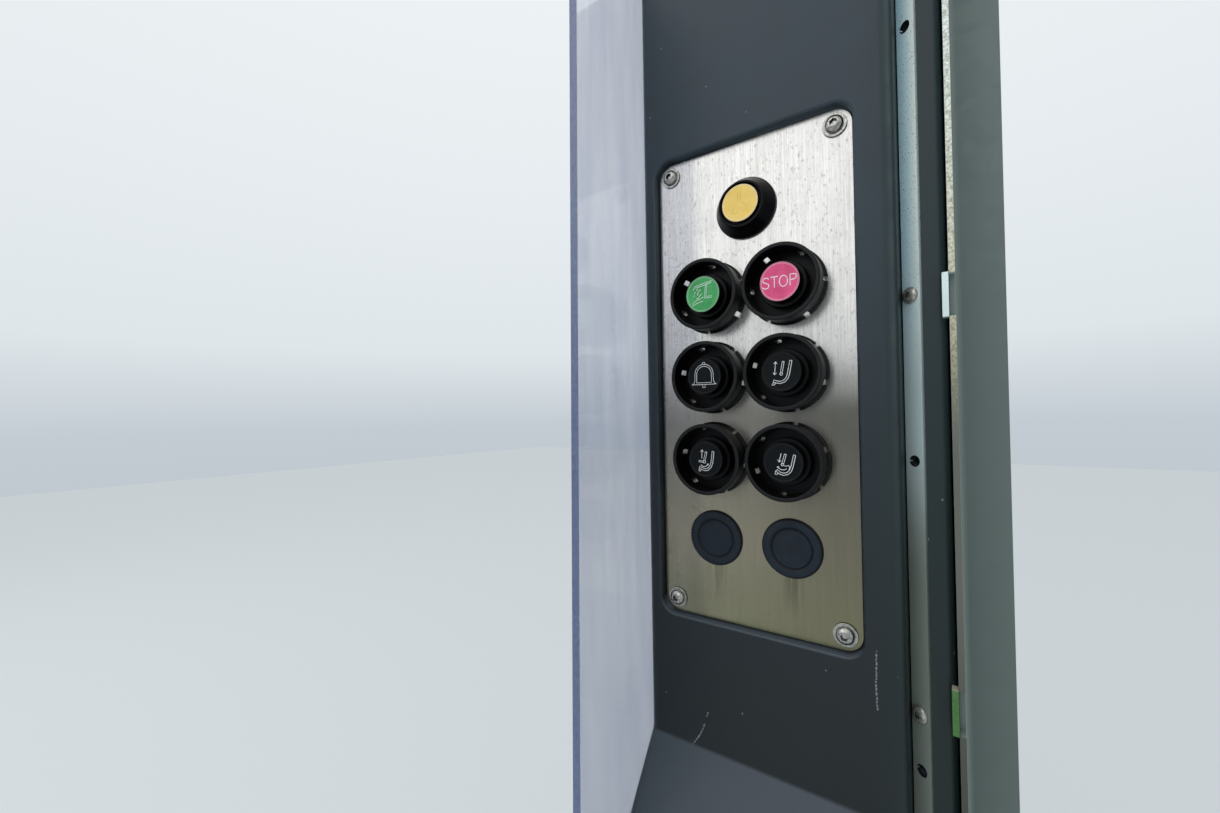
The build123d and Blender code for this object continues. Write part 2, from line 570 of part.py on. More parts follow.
def all_parts():
    """Every node of the model, by name."""
    m6 = button_screw(M6_HEAD, M6_HEAD_TALL, M6_SHANK, M6_SOCKET, PLATE_SCREW_LONG)
    boss_deep = WALL + BOSS_IN - BOSS_FLOOR - SCREW_SPARE
    m6_guard = button_screw(M6_HEAD, M6_HEAD_TALL, M6_SHANK, M6_SOCKET,
                            WASHER_THICK + GUARD_THICK + boss_deep)
    m5 = button_screw(M5_HEAD, M5_HEAD_TALL, M5_SHANK, M5_SOCKET, STRIP_SCREW_LONG)
    guard_places = [place * Pos(0, 0, GUARD_THICK) for place in guard_screw_places()]
    seated = Pos(0, 0, WASHER_THICK)
    parts = {
        "carrier": make_carrier(),
        "web_angle": make_web_angle(),
        "housing": make_housing(),
        "housing_screws": gather(place * make_foot_screw() for place in foot_places()),
        "face_plate": make_plate(),
        "plate_inserts": gather(on_plate(x, z) * make_insert() for x, z in corner_places()),
        "plate_washers": gather(on_plate(x, z) * washer(WASHER, M6_SHANK) for x, z in corner_places()),
        "plate_screws": gather(on_plate(x, z) * seated * m6 for x, z in corner_places()),
        "clamp_strip": make_strip(),
        "strip_screws": gather(strip_place(level) * m5 for level in STRIP_SCREWS),
        "edge_trim": make_trim(),
        "clear_guard": make_guard(),
        "guard_washers": gather(p * washer(GUARD_WASHER, M6_SHANK) for p in guard_places),
        "guard_screws": gather(p * seated * m6_guard for p in guard_places),
        "horn_cone": make_cone(),
    }
    for name, level in TAB_LEVELS.items():
        parts["edge_tab_" + name] = make_tab(level)
    for name, (x, z) in COLLARED.items():
        parts["collar_" + name] = make_collar(x, z, SLOT_TURNS[name])
        parts["barrel_" + name] = make_barrel(x, z, COLLAR_FLOOR, BEZEL_OUTER)
        parts["cap_" + name] = make_cap(x, z, COLLAR_FLOOR, CAP_FRONT)
    parts["barrel_horn"] = make_barrel(*HORN, CONE_FLOOR, HORN_BEZEL)
    parts["cap_horn"] = make_cap(*HORN, CONE_FLOOR, HORN_FRONT)
    switches = [*COLLARED.values(), HORN]
    parts["lock_nuts"] = gather(make_nut(x, z) for x, z in [*switches, *PLUGS.values()])
    parts["contact_blocks"] = gather(make_block(x, z) for x, z in switches)
    for name, (x, z) in PLUGS.items():
        parts["blanking_plug_" + name] = make_plug(x, z)
    return parts


os.makedirs("parts", exist_ok=True)
for node, shape in all_parts().items():
    export_step(shape, f"parts/{node}.step")
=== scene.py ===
import math
import bpy
from mathutils import Matrix, Vector


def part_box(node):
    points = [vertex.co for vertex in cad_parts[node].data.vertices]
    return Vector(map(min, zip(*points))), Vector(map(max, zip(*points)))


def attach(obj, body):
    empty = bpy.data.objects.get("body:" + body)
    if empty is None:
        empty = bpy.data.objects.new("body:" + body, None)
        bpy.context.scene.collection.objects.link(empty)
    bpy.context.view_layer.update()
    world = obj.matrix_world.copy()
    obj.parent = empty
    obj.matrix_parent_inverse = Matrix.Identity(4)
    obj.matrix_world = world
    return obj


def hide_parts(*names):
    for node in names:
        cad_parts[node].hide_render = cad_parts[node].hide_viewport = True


# Rear operator control station of a refuse truck. Metres, in the CAD's frame:
# +X is to the operator's right, the operator stands on the -Y side, +Z is up.
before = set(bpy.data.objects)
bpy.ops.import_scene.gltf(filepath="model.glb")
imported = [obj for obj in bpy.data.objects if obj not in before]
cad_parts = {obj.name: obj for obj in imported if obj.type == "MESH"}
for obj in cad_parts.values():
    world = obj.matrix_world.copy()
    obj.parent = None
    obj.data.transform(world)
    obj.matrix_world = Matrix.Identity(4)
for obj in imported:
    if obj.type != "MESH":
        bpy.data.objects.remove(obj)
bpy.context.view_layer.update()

# Carrier
# A flat 3 mm sheet of hot-dip galvanised steel behind everything. Its holes are
# punched before it is dipped, so zinc rounds their edges and the sheet's.


def only(piece):
    """Select one piece and nothing else."""
    bpy.ops.object.select_all(action="DESELECT")
    piece.select_set(True)
    bpy.context.view_layer.objects.active = piece


def apply_modifier(piece, kind, **settings):
    """Add a modifier to a piece and apply it at once."""
    only(piece)
    modifier = piece.modifiers.new(kind.lower(), kind)
    for name, value in settings.items():
        setattr(modifier, name, value)
    bpy.ops.object.modifier_apply(modifier=modifier.name)


def soften(piece, width, segments=2, smooth=35):
    """Round the sharp edges by a width in millimetres and shade the curves smooth."""
    if width:
        apply_modifier(piece, "BEVEL", width=width / 1000, segments=segments, limit_method="ANGLE",
                       angle_limit=math.radians(30), use_clamp_overlap=True)
    only(piece)
    bpy.ops.object.shade_smooth_by_angle(angle=math.radians(smooth))
    apply_modifier(piece, "WEIGHTED_NORMAL", weight=80, keep_sharp=True)


def twin(model):
    """A copy of a piece, with its own mesh."""
    piece = model.copy()
    piece.data = model.data.copy()
    bpy.context.collection.objects.link(piece)
    return piece


def sheet_copy(node, name):
    """A copy of a CAD node's mesh with its loose triangles joined into whole faces."""
    piece = twin(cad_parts[node])
    piece.name = piece.data.name = name
    piece.parent = None
    piece.data.materials.clear()
    only(piece)
    bpy.ops.object.mode_set(mode="EDIT")
    bpy.ops.mesh.select_all(action="SELECT")
    bpy.ops.mesh.remove_doubles(threshold=2e-6)
    bpy.ops.mesh.dissolve_limited(angle_limit=math.radians(0.2))
    bpy.ops.object.mode_set(mode="OBJECT")
    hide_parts(node)
    return piece


def linear(code):
    """An sRGB hex colour as linear RGBA."""
    parts = [int(code[i:i + 2], 16) / 255 for i in (1, 3, 5)]
    return [c / 12.92 if c <= 0.04045 else ((c + 0.055) / 1.055) ** 2.4 for c in parts] + [1.0]


def feed(tree, node, inputs):
    """Set inputs of a node, each to a number, a hex colour or what another node gives."""
    for name, value in dict(inputs).items():
        if isinstance(value, bpy.types.Node):
            value = next(output for output in value.outputs if output.enabled)
        if isinstance(value, bpy.types.NodeSocket):
            tree.links.new(value, node.inputs[name])
        else:
            node.inputs[name].default_value = linear(value) if isinstance(value, str) else value


def add(tree, kind, inputs=(), stops=(), **settings):
    """Add a node with its settings, its inputs and, for a ramp, its (place, hex colour) stops."""
    node = tree.nodes.new("ShaderNode" + kind)
    for name, value in settings.items():
        setattr(node, name, value)
    for number, (place, colour) in enumerate(stops):
        ramp = node.color_ramp.elements
        stop = ramp[number] if number < 2 else ramp.new(place)
        stop.position, stop.color = place, linear(colour)
    feed(tree, node, inputs)
    return node


def new_finish(name):
    """A new material, its tree, its shader, and object coordinates in metres."""
    material = bpy.data.materials.new(name)
    material.use_nodes = True
    tree = material.node_tree
    return material, tree, tree.nodes["Principled BSDF"], add(tree, "TexCoord").outputs["Object"]


def darkened_downward(tree, where, upper_colour, *low_tones):
    """A colour darkened towards the bottom under layers of (tone, high, low), each full from its low level
    down.
    """
    drift = add(tree, "TexNoise", {"Vector": where, "Scale": 16, "Detail": 5})
    level = add(tree, "SeparateXYZ", {"Vector": where}).outputs["Z"]
    uneven = add(tree, "Math", {0: drift, 1: 0.05, 2: level}, operation="MULTIPLY_ADD")
    for low_tone, high, low in low_tones:
        amount = add(tree, "MapRange", {"Value": uneven, "From Min": high, "From Max": low},
                     interpolation_type="SMOOTHSTEP")
        upper_colour = add(tree, "Mix", {0: amount, 6: upper_colour, 7: low_tone}, data_type="RGBA")
    return upper_colour


def way_faced(tree):
    """The way that a surface faces, split in X, Y and Z."""
    return add(tree, "SeparateXYZ", {"Vector": add(tree, "TexCoord").outputs["Normal"]})


def laid_over(tree, under, over, value, start, full, share=1.0):
    """A colour laid over another as a value goes from start, none of it, to full, a share of it."""
    amount = add(tree, "MapRange", {"Value": value, "From Min": start, "From Max": full, "To Max": share})
    return add(tree, "Mix", {0: amount, 6: under, 7: over}, data_type="RGBA")


# Hot-dip galvanised steel: crystals of zinc some 9 mm across, each of its own
# grey, dull to half gloss, with fine pits. It is painted darker towards the
# bottom, a painted shade for dark ground reflected low down. The outer side and
# the foot behind the front edge are a darker grey-green, and the back keeps its
# bare zinc.
galvanised, tree, shader, where = new_finish("hot_dip_galvanised_steel")
wander = add(tree, "TexNoise", {"Vector": where, "Scale": 120, "Detail": 2})
bent = add(tree, "Mix", {0: 0.004, 4: where, 5: wander.outputs["Color"]}, data_type="VECTOR")
crystal = add(tree, "TexVoronoi", {"Vector": bent, "Scale": 110})
own_grey = add(tree, "SeparateColor", {"Color": crystal.outputs["Color"]})
zinc_tone = add(tree, "ValToRGB", {"Fac": own_grey}, stops=((0.0, "#cfe0e6"), (1.0, "#dfecf1")))
pit = add(tree, "TexNoise", {"Vector": where, "Scale": 900, "Detail": 3})
specked = laid_over(tree, zinc_tone, "#6d797c", pit, 0.6, 0.72, 0.6)
# Painted shade: darker towards the bottom, for dark ground reflected low down.
painted_low_shade = darkened_downward(tree, where, specked, ("#a9b6b8", 0.26, 0.0), ("#6f7571", 0.0, -0.2))
depth = add(tree, "SeparateXYZ", {"Vector": where}).outputs["Y"]
behind_edge = laid_over(tree, painted_low_shade, "#66736f", depth, -0.0715, -0.066, 0.97)
turned_to = way_faced(tree)
outer_side = laid_over(tree, behind_edge, "#84928c", turned_to.outputs["X"], 0.5, 0.9, 0.9)
spangle = add(tree, "ValToRGB", {"Fac": own_grey}, stops=((0.0, "#98a3a5"), (1.0, "#c0c9ca")))
zinc = laid_over(tree, outer_side, spangle, turned_to.outputs["Y"], 0.3, 0.8, 0.9)
dull = add(tree, "MapRange", {"Value": own_grey.outputs["Green"], "To Min": 0.42, "To Max": 0.55})
grain = add(tree, "Bump", {"Height": pit, "Strength": 0.15, "Distance": 0.0003})
feed(tree, shader, {"Base Color": zinc, "Metallic": 0.1, "Roughness": dull, "Normal": grain})

carrier = sheet_copy("carrier", "carrier_sheet")
soften(carrier, 0.4)
carrier.data.materials.append(galvanised)
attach(carrier, "station")

# Web angle
# A folded galvanised angle welded along the carrier's right side. The web's
# front edge was sawn, so it shows bare, speckled metal beside the trim.


def clouded(tree, where, scale, detail, *stops):
    """Noise of a scale and detail, and the colours it gives between (place, hex colour) stops."""
    noise = add(tree, "TexNoise", {"Vector": where, "Scale": scale, "Detail": detail})
    return noise, add(tree, "ValToRGB", {"Fac": noise}, stops=stops)


# Sawn galvanised edge: pale speckled metal, yellowed and then dark lower down.
sawn_edge, tree, shader, where = new_finish("sawn_galvanised_edge")
speck, speckled = clouded(tree, where, 800, 4, (0.36, "#b0b2a7"), (0.52, "#daded7"), (0.68, "#f4f7f3"))
yellowed = add(tree, "Mix", {0: 1.0, 6: speckled, 7: "#dcd3b8"}, data_type="RGBA",
               blend_type="MULTIPLY")
toned_edge = darkened_downward(tree, where, speckled, (yellowed, 0.24, 0.02), ("#65665e", 0.08, -0.02),
                 ("#484b42", -0.08, -0.22))
saw_marks = add(tree, "Bump", {"Height": speck, "Strength": 0.5, "Distance": 0.0004})
feed(tree, shader, {"Base Color": toned_edge, "Metallic": 0.35, "Roughness": 0.55, "Normal": saw_marks})


def choose(piece, kind, test):
    """In edit mode, select the FACE or VERT parts whose place and normal pass a test."""
    only(piece)
    bpy.ops.object.mode_set(mode="EDIT")
    bpy.ops.mesh.select_mode(type=kind)
    bpy.ops.mesh.select_all(action="DESELECT")
    bpy.ops.object.mode_set(mode="OBJECT")
    for part in piece.data.polygons if kind == "FACE" else piece.data.vertices:
        part.select = test(part.center if kind == "FACE" else part.co, part.normal)
    bpy.ops.object.mode_set(mode="EDIT")


def second_finish(piece, material, test):
    """Give the faces that pass a test the piece's second material."""
    piece.data.materials.append(material)
    choose(piece, "FACE", test)
    piece.active_material_index = len(piece.data.materials) - 1
    bpy.ops.object.material_slot_assign()
    bpy.ops.object.mode_set(mode="OBJECT")


web = sheet_copy("web_angle", "web_and_foot")
soften(web, 0.25)
web.data.materials.append(galvanised)
second_finish(web, sawn_edge, lambda centre, normal: normal.y < -0.7 and centre.y < -0.0725)
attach(web, "station")

# Housing
# One deep cover of moulded grey plastic with the plate's recess, the crease and
# the sloping nose. It shows a fine moulded grain, mottling and a few scuffs.

# Moulded glass-filled plastic: dark blue-grey, half matt, with a 0.6 mm grain,
# drawn at 1.2 mm to show. Its rounded edges are paler, most on the right side:
# partly wear from hands and weather, partly a painted highlight.
moulding, tree, shader, where = new_finish("moulded_plastic_blue_grey")
cloud = add(tree, "TexNoise", {"Vector": where, "Scale": 22, "Detail": 6, "Roughness": 0.6})
mottle = add(tree, "ValToRGB", {"Fac": cloud}, stops=((0.3, "#243039"), (0.7, "#2b3842")))
turned_to = way_faced(tree)
# A rounded edge faces between the axes, so its largest share is well under 1.
flattest = 0.0
for axis in "XYZ":
    way = add(tree, "Math", {0: turned_to.outputs[axis]}, operation="ABSOLUTE")
    flattest = add(tree, "Math", {0: flattest, 1: way}, operation="MAXIMUM")
rub = add(tree, "TexNoise", {"Vector": where, "Scale": 60, "Detail": 5})
# Painted highlight, with some wear: paler rounded edges, stronger on the right side.
rounded_edges = add(tree, "MapRange", {"Value": flattest, "From Min": 0.97, "From Max": 0.75})
across = add(tree, "SeparateXYZ", {"Vector": where}).outputs["X"]
stronger_on_right = add(tree, "MapRange", {"Value": across, "From Min": 0.06, "From Max": 0.075, "To Min": 0.3})
edge_wear_and_highlight = rounded_edges
for share in (rub, stronger_on_right):
    edge_wear_and_highlight = add(tree, "Math", {0: edge_wear_and_highlight, 1: share}, operation="MULTIPLY")
edged = add(tree, "Mix", {0: edge_wear_and_highlight, 6: mottle, 7: "#5b6a69"}, data_type="RGBA")
# Painted shade: darker towards the bottom, for dark ground reflected in the sheen.
lower = darkened_downward(tree, where, edged, ("#161d21", 0.16, -0.2))
greener = laid_over(tree, lower, "#192a27", across, 0.066, 0.09, 0.6)
dust = add(tree, "TexVoronoi", {"Vector": where, "Scale": 60})
dusted = laid_over(tree, greener, "#9aa3a6", dust, 0.045, 0.02, 0.55)
# Painted reflection of the sky: faces turned up are paler.
painted_sky_on_top = laid_over(tree, dusted, "#4a545e", turned_to.outputs["Z"], 0.2, 0.75, 0.8)
scuffed = painted_sky_on_top
chips = add(tree, "TexNoise", {"Vector": where, "Scale": 700, "Detail": 2})
broken = add(tree, "MapRange", {"Value": chips, "From Min": 0.42, "From Max": 0.6})
facing = add(tree, "Math", {0: turned_to.outputs["Y"], 1: -0.9}, operation="LESS_THAN")
# Scuffs: fine pale scratches, each with its middle, length and lean.
for x, z, long, lean in ((-0.0313, -0.2236, 0.0035, 65), (-0.0347, -0.2341, 0.0090, 68),
                         (-0.0394, -0.2429, 0.0110, 57), (-0.0068, -0.2149, 0.0015, 80),
                         (0.0713, -0.1607, 0.0170, 89), (0.0711, -0.1780, 0.0160, 92)):
    moved = add(tree, "Mapping", {"Vector": where, "Location": (-x, 0, -z)})
    aligned = add(tree, "Mapping", {"Vector": moved, "Rotation": (0, math.radians(lean), 0)})
    place = add(tree, "SeparateXYZ", {"Vector": aligned})
    beside = add(tree, "Math", {0: place.outputs["Z"]}, operation="ABSOLUTE")
    near = add(tree, "MapRange", {"Value": beside, "From Min": 0.0006, "From Max": 0.0001})
    within = add(tree, "Math", {0: place.outputs["X"], 1: 0, 2: long / 2}, operation="COMPARE")
    mark = near
    for share in (within, facing, broken):
        mark = add(tree, "Math", {0: mark, 1: share}, operation="MULTIPLY")
    scuffed = add(tree, "Mix", {0: mark, 6: scuffed, 7: "#8f9796"}, data_type="RGBA")
pebble = add(tree, "TexNoise", {"Vector": where, "Scale": 850, "Detail": 3})
grain = add(tree, "Bump", {"Height": pebble, "Strength": 0.12, "Distance": 0.0004})
sheen = add(tree, "MapRange", {"Value": cloud, "To Min": 0.38, "To Max": 0.52})
feed(tree, shader, {"Base Color": scuffed, "Roughness": sheen, "Specular IOR Level": 0.35,
                    "Normal": grain})

housing = sheet_copy("housing", "moulded_cover")
soften(housing, 0)
housing.data.materials.append(moulding)
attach(housing, "station")

# Button plate
# Stainless sheet, brushed upright, laid in the housing's recess. Corners cut to
# a 10 mm radius and nine button holes; its foot is painted a darker grey-brown,
# a painted reflection of dark ground.


def cut(piece, cutter):
    """Cut one shape out of a piece and remove the cutter."""
    apply_modifier(piece, "BOOLEAN", operation="DIFFERENCE", solver="EXACT", object=cutter)
    bpy.data.objects.remove(cutter)


def on_plate(x, z):
    """A place on the plate's front, its own +Z pointing out to the operator."""
    return Matrix.Translation((x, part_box("face_plate")[0].y, z)) @ Matrix.Rotation(math.pi / 2, 4, "X")


def settle(piece, place):
    """Bring a piece to its place and leave its origin at the scene's origin."""
    piece.matrix_world = place
    only(piece)
    bpy.ops.object.transform_apply()
    return piece


def axis_of(node):
    """The middle of a node's box across and up, in metres."""
    low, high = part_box(node)
    return (low.x + high.x) / 2, (low.z + high.z) / 2


def new_piece(name, primitive, **settings):
    """Add one primitive with nothing else selected, and name it."""
    bpy.ops.object.select_all(action="DESELECT")
    primitive(**settings)
    piece = bpy.context.active_object
    piece.name = piece.data.name = name
    return piece


def joined(pieces):
    """Join some pieces in the last of them."""
    only(pieces[-1])
    for piece in pieces:
        piece.select_set(True)
    bpy.ops.object.join()
    return pieces[-1]


def pins(spots, diameter):
    """Round cutters 30 mm long, a diameter in millimetres, joined in one, along local Z."""
    pin = joined([new_piece("pin", bpy.ops.mesh.primitive_cylinder_add, vertices=64, radius=diameter / 2000,
                            depth=0.03, location=(x, y, 0)) for x, y in spots])
    bpy.ops.object.transform_apply()
    return pin


def thicken(height):
    """Extrude the outline in edit mode, turn its faces outwards and leave edit mode."""
    bpy.ops.mesh.select_all(action="SELECT")
    bpy.ops.mesh.extrude_region_move(TRANSFORM_OT_translate={"value": (0, 0, height)})
    bpy.ops.mesh.select_all(action="SELECT")
    bpy.ops.mesh.normals_make_consistent(inside=False)
    bpy.ops.object.mode_set(mode="OBJECT")


low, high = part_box("face_plate")
plate_corner, button_hole, screw_hole = 0.010, 22.3, 6.6
plate = new_piece("brushed_plate", bpy.ops.mesh.primitive_plane_add, size=1)
bpy.ops.object.mode_set(mode="EDIT")
bpy.ops.transform.resize(value=(high.x - low.x, high.z - low.z, 1))
bpy.ops.mesh.bevel(affect="VERTICES", offset=plate_corner, segments=12)
thicken(low.y - high.y)
buttons = ["green", "stop", "bell", "lift", "raise", "lower", "horn"]
spots = [axis_of("barrel_" + name) for name in buttons]
spots += [axis_of("blanking_plug_" + side) for side in ("left", "right")]
cut(plate, pins(spots, button_hole))
inset = 0.0094
corners = [(x, z) for x in (low.x + inset, high.x - inset) for z in (low.z + inset, high.z - inset)]
cut(plate, pins(corners, screw_hole))
soften(plate, 0.3)
settle(plate, on_plate(0, 0))


def upright(tree, where, squeeze, scale, detail, rough=0.5):
    """Noise squeezed in height, which draws it out upwards."""
    squeezed = add(tree, "Mapping", {"Vector": where, "Scale": (1, 1, squeeze)})
    return add(tree, "TexNoise", {"Vector": squeezed, "Scale": scale, "Detail": detail, "Roughness": rough})


# Brushed stainless steel: upright hairlines 0.1 mm apart, drawn 0.8 mm apart to
# show, soft reflections drawn out sideways, grey specks and drips. It is painted
# darker and more olive towards the bottom and towards the right: a painted
# reflection of dark ground and painted shade.
brushed, tree, shader, where = new_finish("brushed_stainless_steel")
hairline, broad = upright(tree, where, 0.02, 1250, 2), upright(tree, where, 0.02, 260, 3)
lines = add(tree, "Mix", {0: 0.25, 2: hairline, 3: broad}, data_type="FLOAT")
mottle = upright(tree, where, 0.3, 900, 4, 0.7)
streaked = add(tree, "Mix", {0: 0.5, 2: lines, 3: mottle}, data_type="FLOAT")
steel = add(tree, "ValToRGB", {"Fac": streaked}, stops=((0.36, "#c8c5c0"), (0.62, "#dad8d5")))
height = add(tree, "SeparateXYZ", {"Vector": where}).outputs["Z"]
spot = upright(tree, where, 0.55, 620, 2)
spotted = add(tree, "MapRange", {"Value": spot, "From Min": 0.6, "From Max": 0.72, "To Max": 0.5})
upper = add(tree, "MapRange", {"Value": height, "From Min": -0.04, "From Max": 0.05})
spots_up = add(tree, "Math", {0: spotted, 1: upper}, operation="MULTIPLY")
specked = add(tree, "Mix", {0: spots_up, 6: steel, 7: "#87888b"}, data_type="RGBA")
across = add(tree, "SeparateXYZ", {"Vector": where}).outputs["X"]
rightward = add(tree, "MapRange", {"Value": across, "From Min": -0.05, "From Max": 0.05})
# Painted reflection of dark ground: layers darker and more olive towards the bottom, darker on the right.
low_tones = []
for left_low_tone, right_low_tone, start, end in (("#96928a", "#706e67", 0.055, -0.005),
                                            ("#9e9784", "#7d7868", -0.01, -0.07),
                                            ("#8b8872", "#838167", -0.07, -0.13)):
    low_tone = add(tree, "Mix", {0: rightward, 6: left_low_tone, 7: right_low_tone}, data_type="RGBA")
    low_tones.append((low_tone, start, end))
painted_low_shade = darkened_downward(tree, where, specked, *low_tones)
run = upright(tree, where, 0.05, 420, 3)
runs = add(tree, "MapRange", {"Value": run, "From Min": 0.42, "From Max": 0.58, "To Max": 0.42})
below = add(tree, "MapRange", {"Value": height, "From Min": -0.116, "From Max": -0.121})
dried = add(tree, "MapRange", {"Value": height, "From Min": -0.15, "From Max": -0.128})
plug_across = 0.0251
off_middle = add(tree, "Math", {0: across}, operation="ABSOLUTE")
past_plug = add(tree, "Math", {0: off_middle, 1: plug_across}, operation="SUBTRACT")
off_plug = add(tree, "Math", {0: past_plug}, operation="ABSOLUTE")
under = add(tree, "MapRange", {"Value": off_plug, "From Min": 0.008, "From Max": 0.002})
drip = runs
for share in (below, dried, under):
    drip = add(tree, "Math", {0: drip, 1: share}, operation="MULTIPLY")
dripped = add(tree, "Mix", {0: drip, 6: painted_low_shade, 7: "#3f4034"}, data_type="RGBA")
line_shade = add(tree, "MapRange", {"Value": lines, "From Min": 0.35, "From Max": 0.65,
                                    "To Min": 0.9, "To Max": 1.0})
# Painted shade: a little darker towards the right.
edge_shade = add(tree, "MapRange", {"Value": across, "From Min": -0.02, "From Max": 0.06,
                                    "To Min": 1.0, "To Max": 0.94})
shade = add(tree, "Math", {0: line_shade, 1: edge_shade}, operation="MULTIPLY")
combed_and_shaded = add(tree, "Mix", {0: 1.0, 6: dripped, 7: shade}, data_type="RGBA", blend_type="MULTIPLY")
smear = add(tree, "TexNoise", {"Vector": where, "Scale": 45, "Detail": 5})
gloss = add(tree, "MapRange", {"Value": smear, "From Min": 0.3, "From Max": 0.7, "To Min": 0.21,
                               "To Max": 0.31})
scratch = add(tree, "Bump", {"Height": lines, "Strength": 0.08, "Distance": 0.0002})
along = add(tree, "Tangent", direction_type="UV_MAP", uv_map="brushing")
feed(tree, shader, {"Base Color": combed_and_shaded, "Metallic": 0.9, "Roughness": gloss,
                    "Anisotropic": 0.55, "Normal": scratch, "Tangent": along})

# Its UV map runs up the plate, along the brushing.
brushing = plate.data.uv_layers.new(name="brushing")
for corner in plate.data.loops:
    place = plate.data.vertices[corner.vertex_index].co
    brushing.data[corner.index].uv = (place.z, place.x)
plate.data.materials.append(brushed)
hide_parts("face_plate")
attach(plate, "station")

# Plate washers and screws
# M6 stainless button-head screws with a 4 mm hexagon socket, each on a turned
# washer. Rolled and polished, so they catch small bright highlights.


def turned(name, profile, steps=96):
    """Spin a (radius, height) profile in millimetres round Z, closed and facing outwards."""
    piece = new_piece(name, bpy.ops.mesh.primitive_plane_add, size=0.001)
    bpy.ops.object.mode_set(mode="EDIT")
    bpy.ops.mesh.select_mode(type="VERT")
    bpy.ops.mesh.select_all(action="SELECT")
    bpy.ops.mesh.merge(type="CENTER")
    bpy.ops.transform.translate(value=(profile[0][0] / 1000, 0, profile[0][1] / 1000))
    for (r0, h0), (r1, h1) in zip(profile, profile[1:]):
        step = ((r1 - r0) / 1000, 0, (h1 - h0) / 1000)
        bpy.ops.mesh.extrude_region_move(TRANSFORM_OT_translate={"value": step})
    bpy.ops.mesh.select_all(action="SELECT")
    bpy.ops.mesh.spin(steps=steps, angle=math.tau, center=(0, 0, 0), axis=(0, 0, 1))
    bpy.ops.mesh.select_all(action="SELECT")
    bpy.ops.mesh.remove_doubles(threshold=2e-6)
    bpy.ops.mesh.normals_make_consistent(inside=False)
    bpy.ops.object.mode_set(mode="OBJECT")
    return piece


def copies(model, places, name):
    """Copies of a model, each with its own mesh at its place, joined in one piece."""
    piece = joined([settle(twin(model), place) for place in places])
    bpy.data.objects.remove(model)
    piece.name = piece.data.name = name
    return piece


# Polished stainless fasteners: bright, with fine turning marks. Their sockets
# and the crevices round their rims take the dark crevice finish, painted shade
# with a little dirt.
fastener, tree, shader, where = new_finish("polished_stainless_fastener")
tarnish, bright = clouded(tree, where, 700, 4, (0.35, "#85847f"), (0.6, "#b0afa9"))
polish = add(tree, "MapRange", {"Value": tarnish, "To Min": 0.12, "To Max": 0.22})
ripple = add(tree, "Bump", {"Height": tarnish, "Strength": 0.03, "Distance": 0.0002})
feed(tree, shader, {"Base Color": bright, "Metallic": 0.95, "Roughness": polish, "Normal": ripple})


def two_tone(name, scale, detail, dark, light, **inputs):
    """A finish clouded from dark to light, its shader's other inputs with _ for a space."""
    material, tree, shader, where = new_finish(name)
    colour = clouded(tree, where, scale, detail, dark, light)[1]
    feed(tree, shader, {"Base Color": colour})
    feed(tree, shader, {key.replace("_", " "): value for key, value in inputs.items()})
    return material


# Dark brown-black and dead matt, in the sockets, in the crevices round the heads
# and washers and in the strip's holes: painted shade, with a little caked dirt.
dark_crevice = two_tone("dark_crevice_shade_and_dirt", 1600, 3, (0.3, "#0e0d0c"), (0.8, "#2b2927"), Roughness=0.85,
                 Specular_IOR_Level=0.2)


def button_screw(head, tall, shank, socket, long, finish=fastener):
    """A domed screw on height 0, in millimetres, with a dark socket and a dark ring round its head: painted
    shade, with a little dirt.
    """
    crown = math.acos(1.24 * socket / head)
    rise = 0.8 * tall / math.sin(crown)
    dome = [(head / 2 * math.cos(crown * step / 6), tall * 0.2 + rise * math.sin(crown * step / 6))
            for step in range(7)]
    stem = [(0, -long), (shank / 2 - 0.5, -long), (shank / 2, 0.5 - long), (shank / 2, 0),
            (head / 2 - 0.2, 0)]
    piece = turned("screw", stem + dome + [(0, tall)], 48)
    cut(piece, new_piece("hexagon", bpy.ops.mesh.primitive_cylinder_add, vertices=6, depth=0.01,
                         radius=socket / 2000 / math.cos(math.radians(30)),
                         location=(0, 0, 0.005 + tall * 0.45 / 1000)))
    soften(piece, 0.12)
    piece.data.materials.append(finish)
    reach, floor, top = socket * 0.0006, tall * 0.5 / 1000, (tall - 0.15) / 1000
    second_finish(piece, dark_crevice, lambda centre, normal: centre.xy.length < reach and floor < centre.z < top
                  or abs(normal.z) < 0.2 and 0 < centre.z < 0.0006)
    return piece


def washer(outer, bore, thick):
    """A flat washer with rolled edges, lying on height 0; sizes in millimetres."""
    piece = turned("washer", [(bore / 2, 0), (outer / 2, 0), (outer / 2, thick * 0.4), (outer / 2, thick),
                              (bore / 2, thick), (bore / 2, 0)], 64)
    soften(piece, 0.3)
    piece.data.materials.append(fastener)
    # Painted shadow: the washer's side is dark low down, where it meets what it lies on.
    second_finish(piece, dark_crevice, lambda centre, normal: centre.z < thick * 0.0004 and abs(normal.z) < 0.9)
    return piece


washer_thick = 1.2
raised = Matrix.Translation((0, 0, washer_thick / 1000))
plate_washers = copies(washer(13.9, screw_hole, washer_thick), [on_plate(x, z) for x, z in corners],
                       "plate_rolled_washers")
turns = [Matrix.Rotation(math.radians(turn), 4, "Z") for turn in (12, 47, 28, 5)]
screw_places = [on_plate(x, z) @ raised @ turn for (x, z), turn in zip(corners, turns)]
m6 = {"head": 10.5, "tall": 3.3, "shank": 6.0, "socket": 4.0}
plate_screws = copies(button_screw(**m6, long=16), screw_places, "plate_button_screws")
for piece, node in ((plate_washers, "plate_washers"), (plate_screws, "plate_screws")):
    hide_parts(node)
    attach(piece, "station")

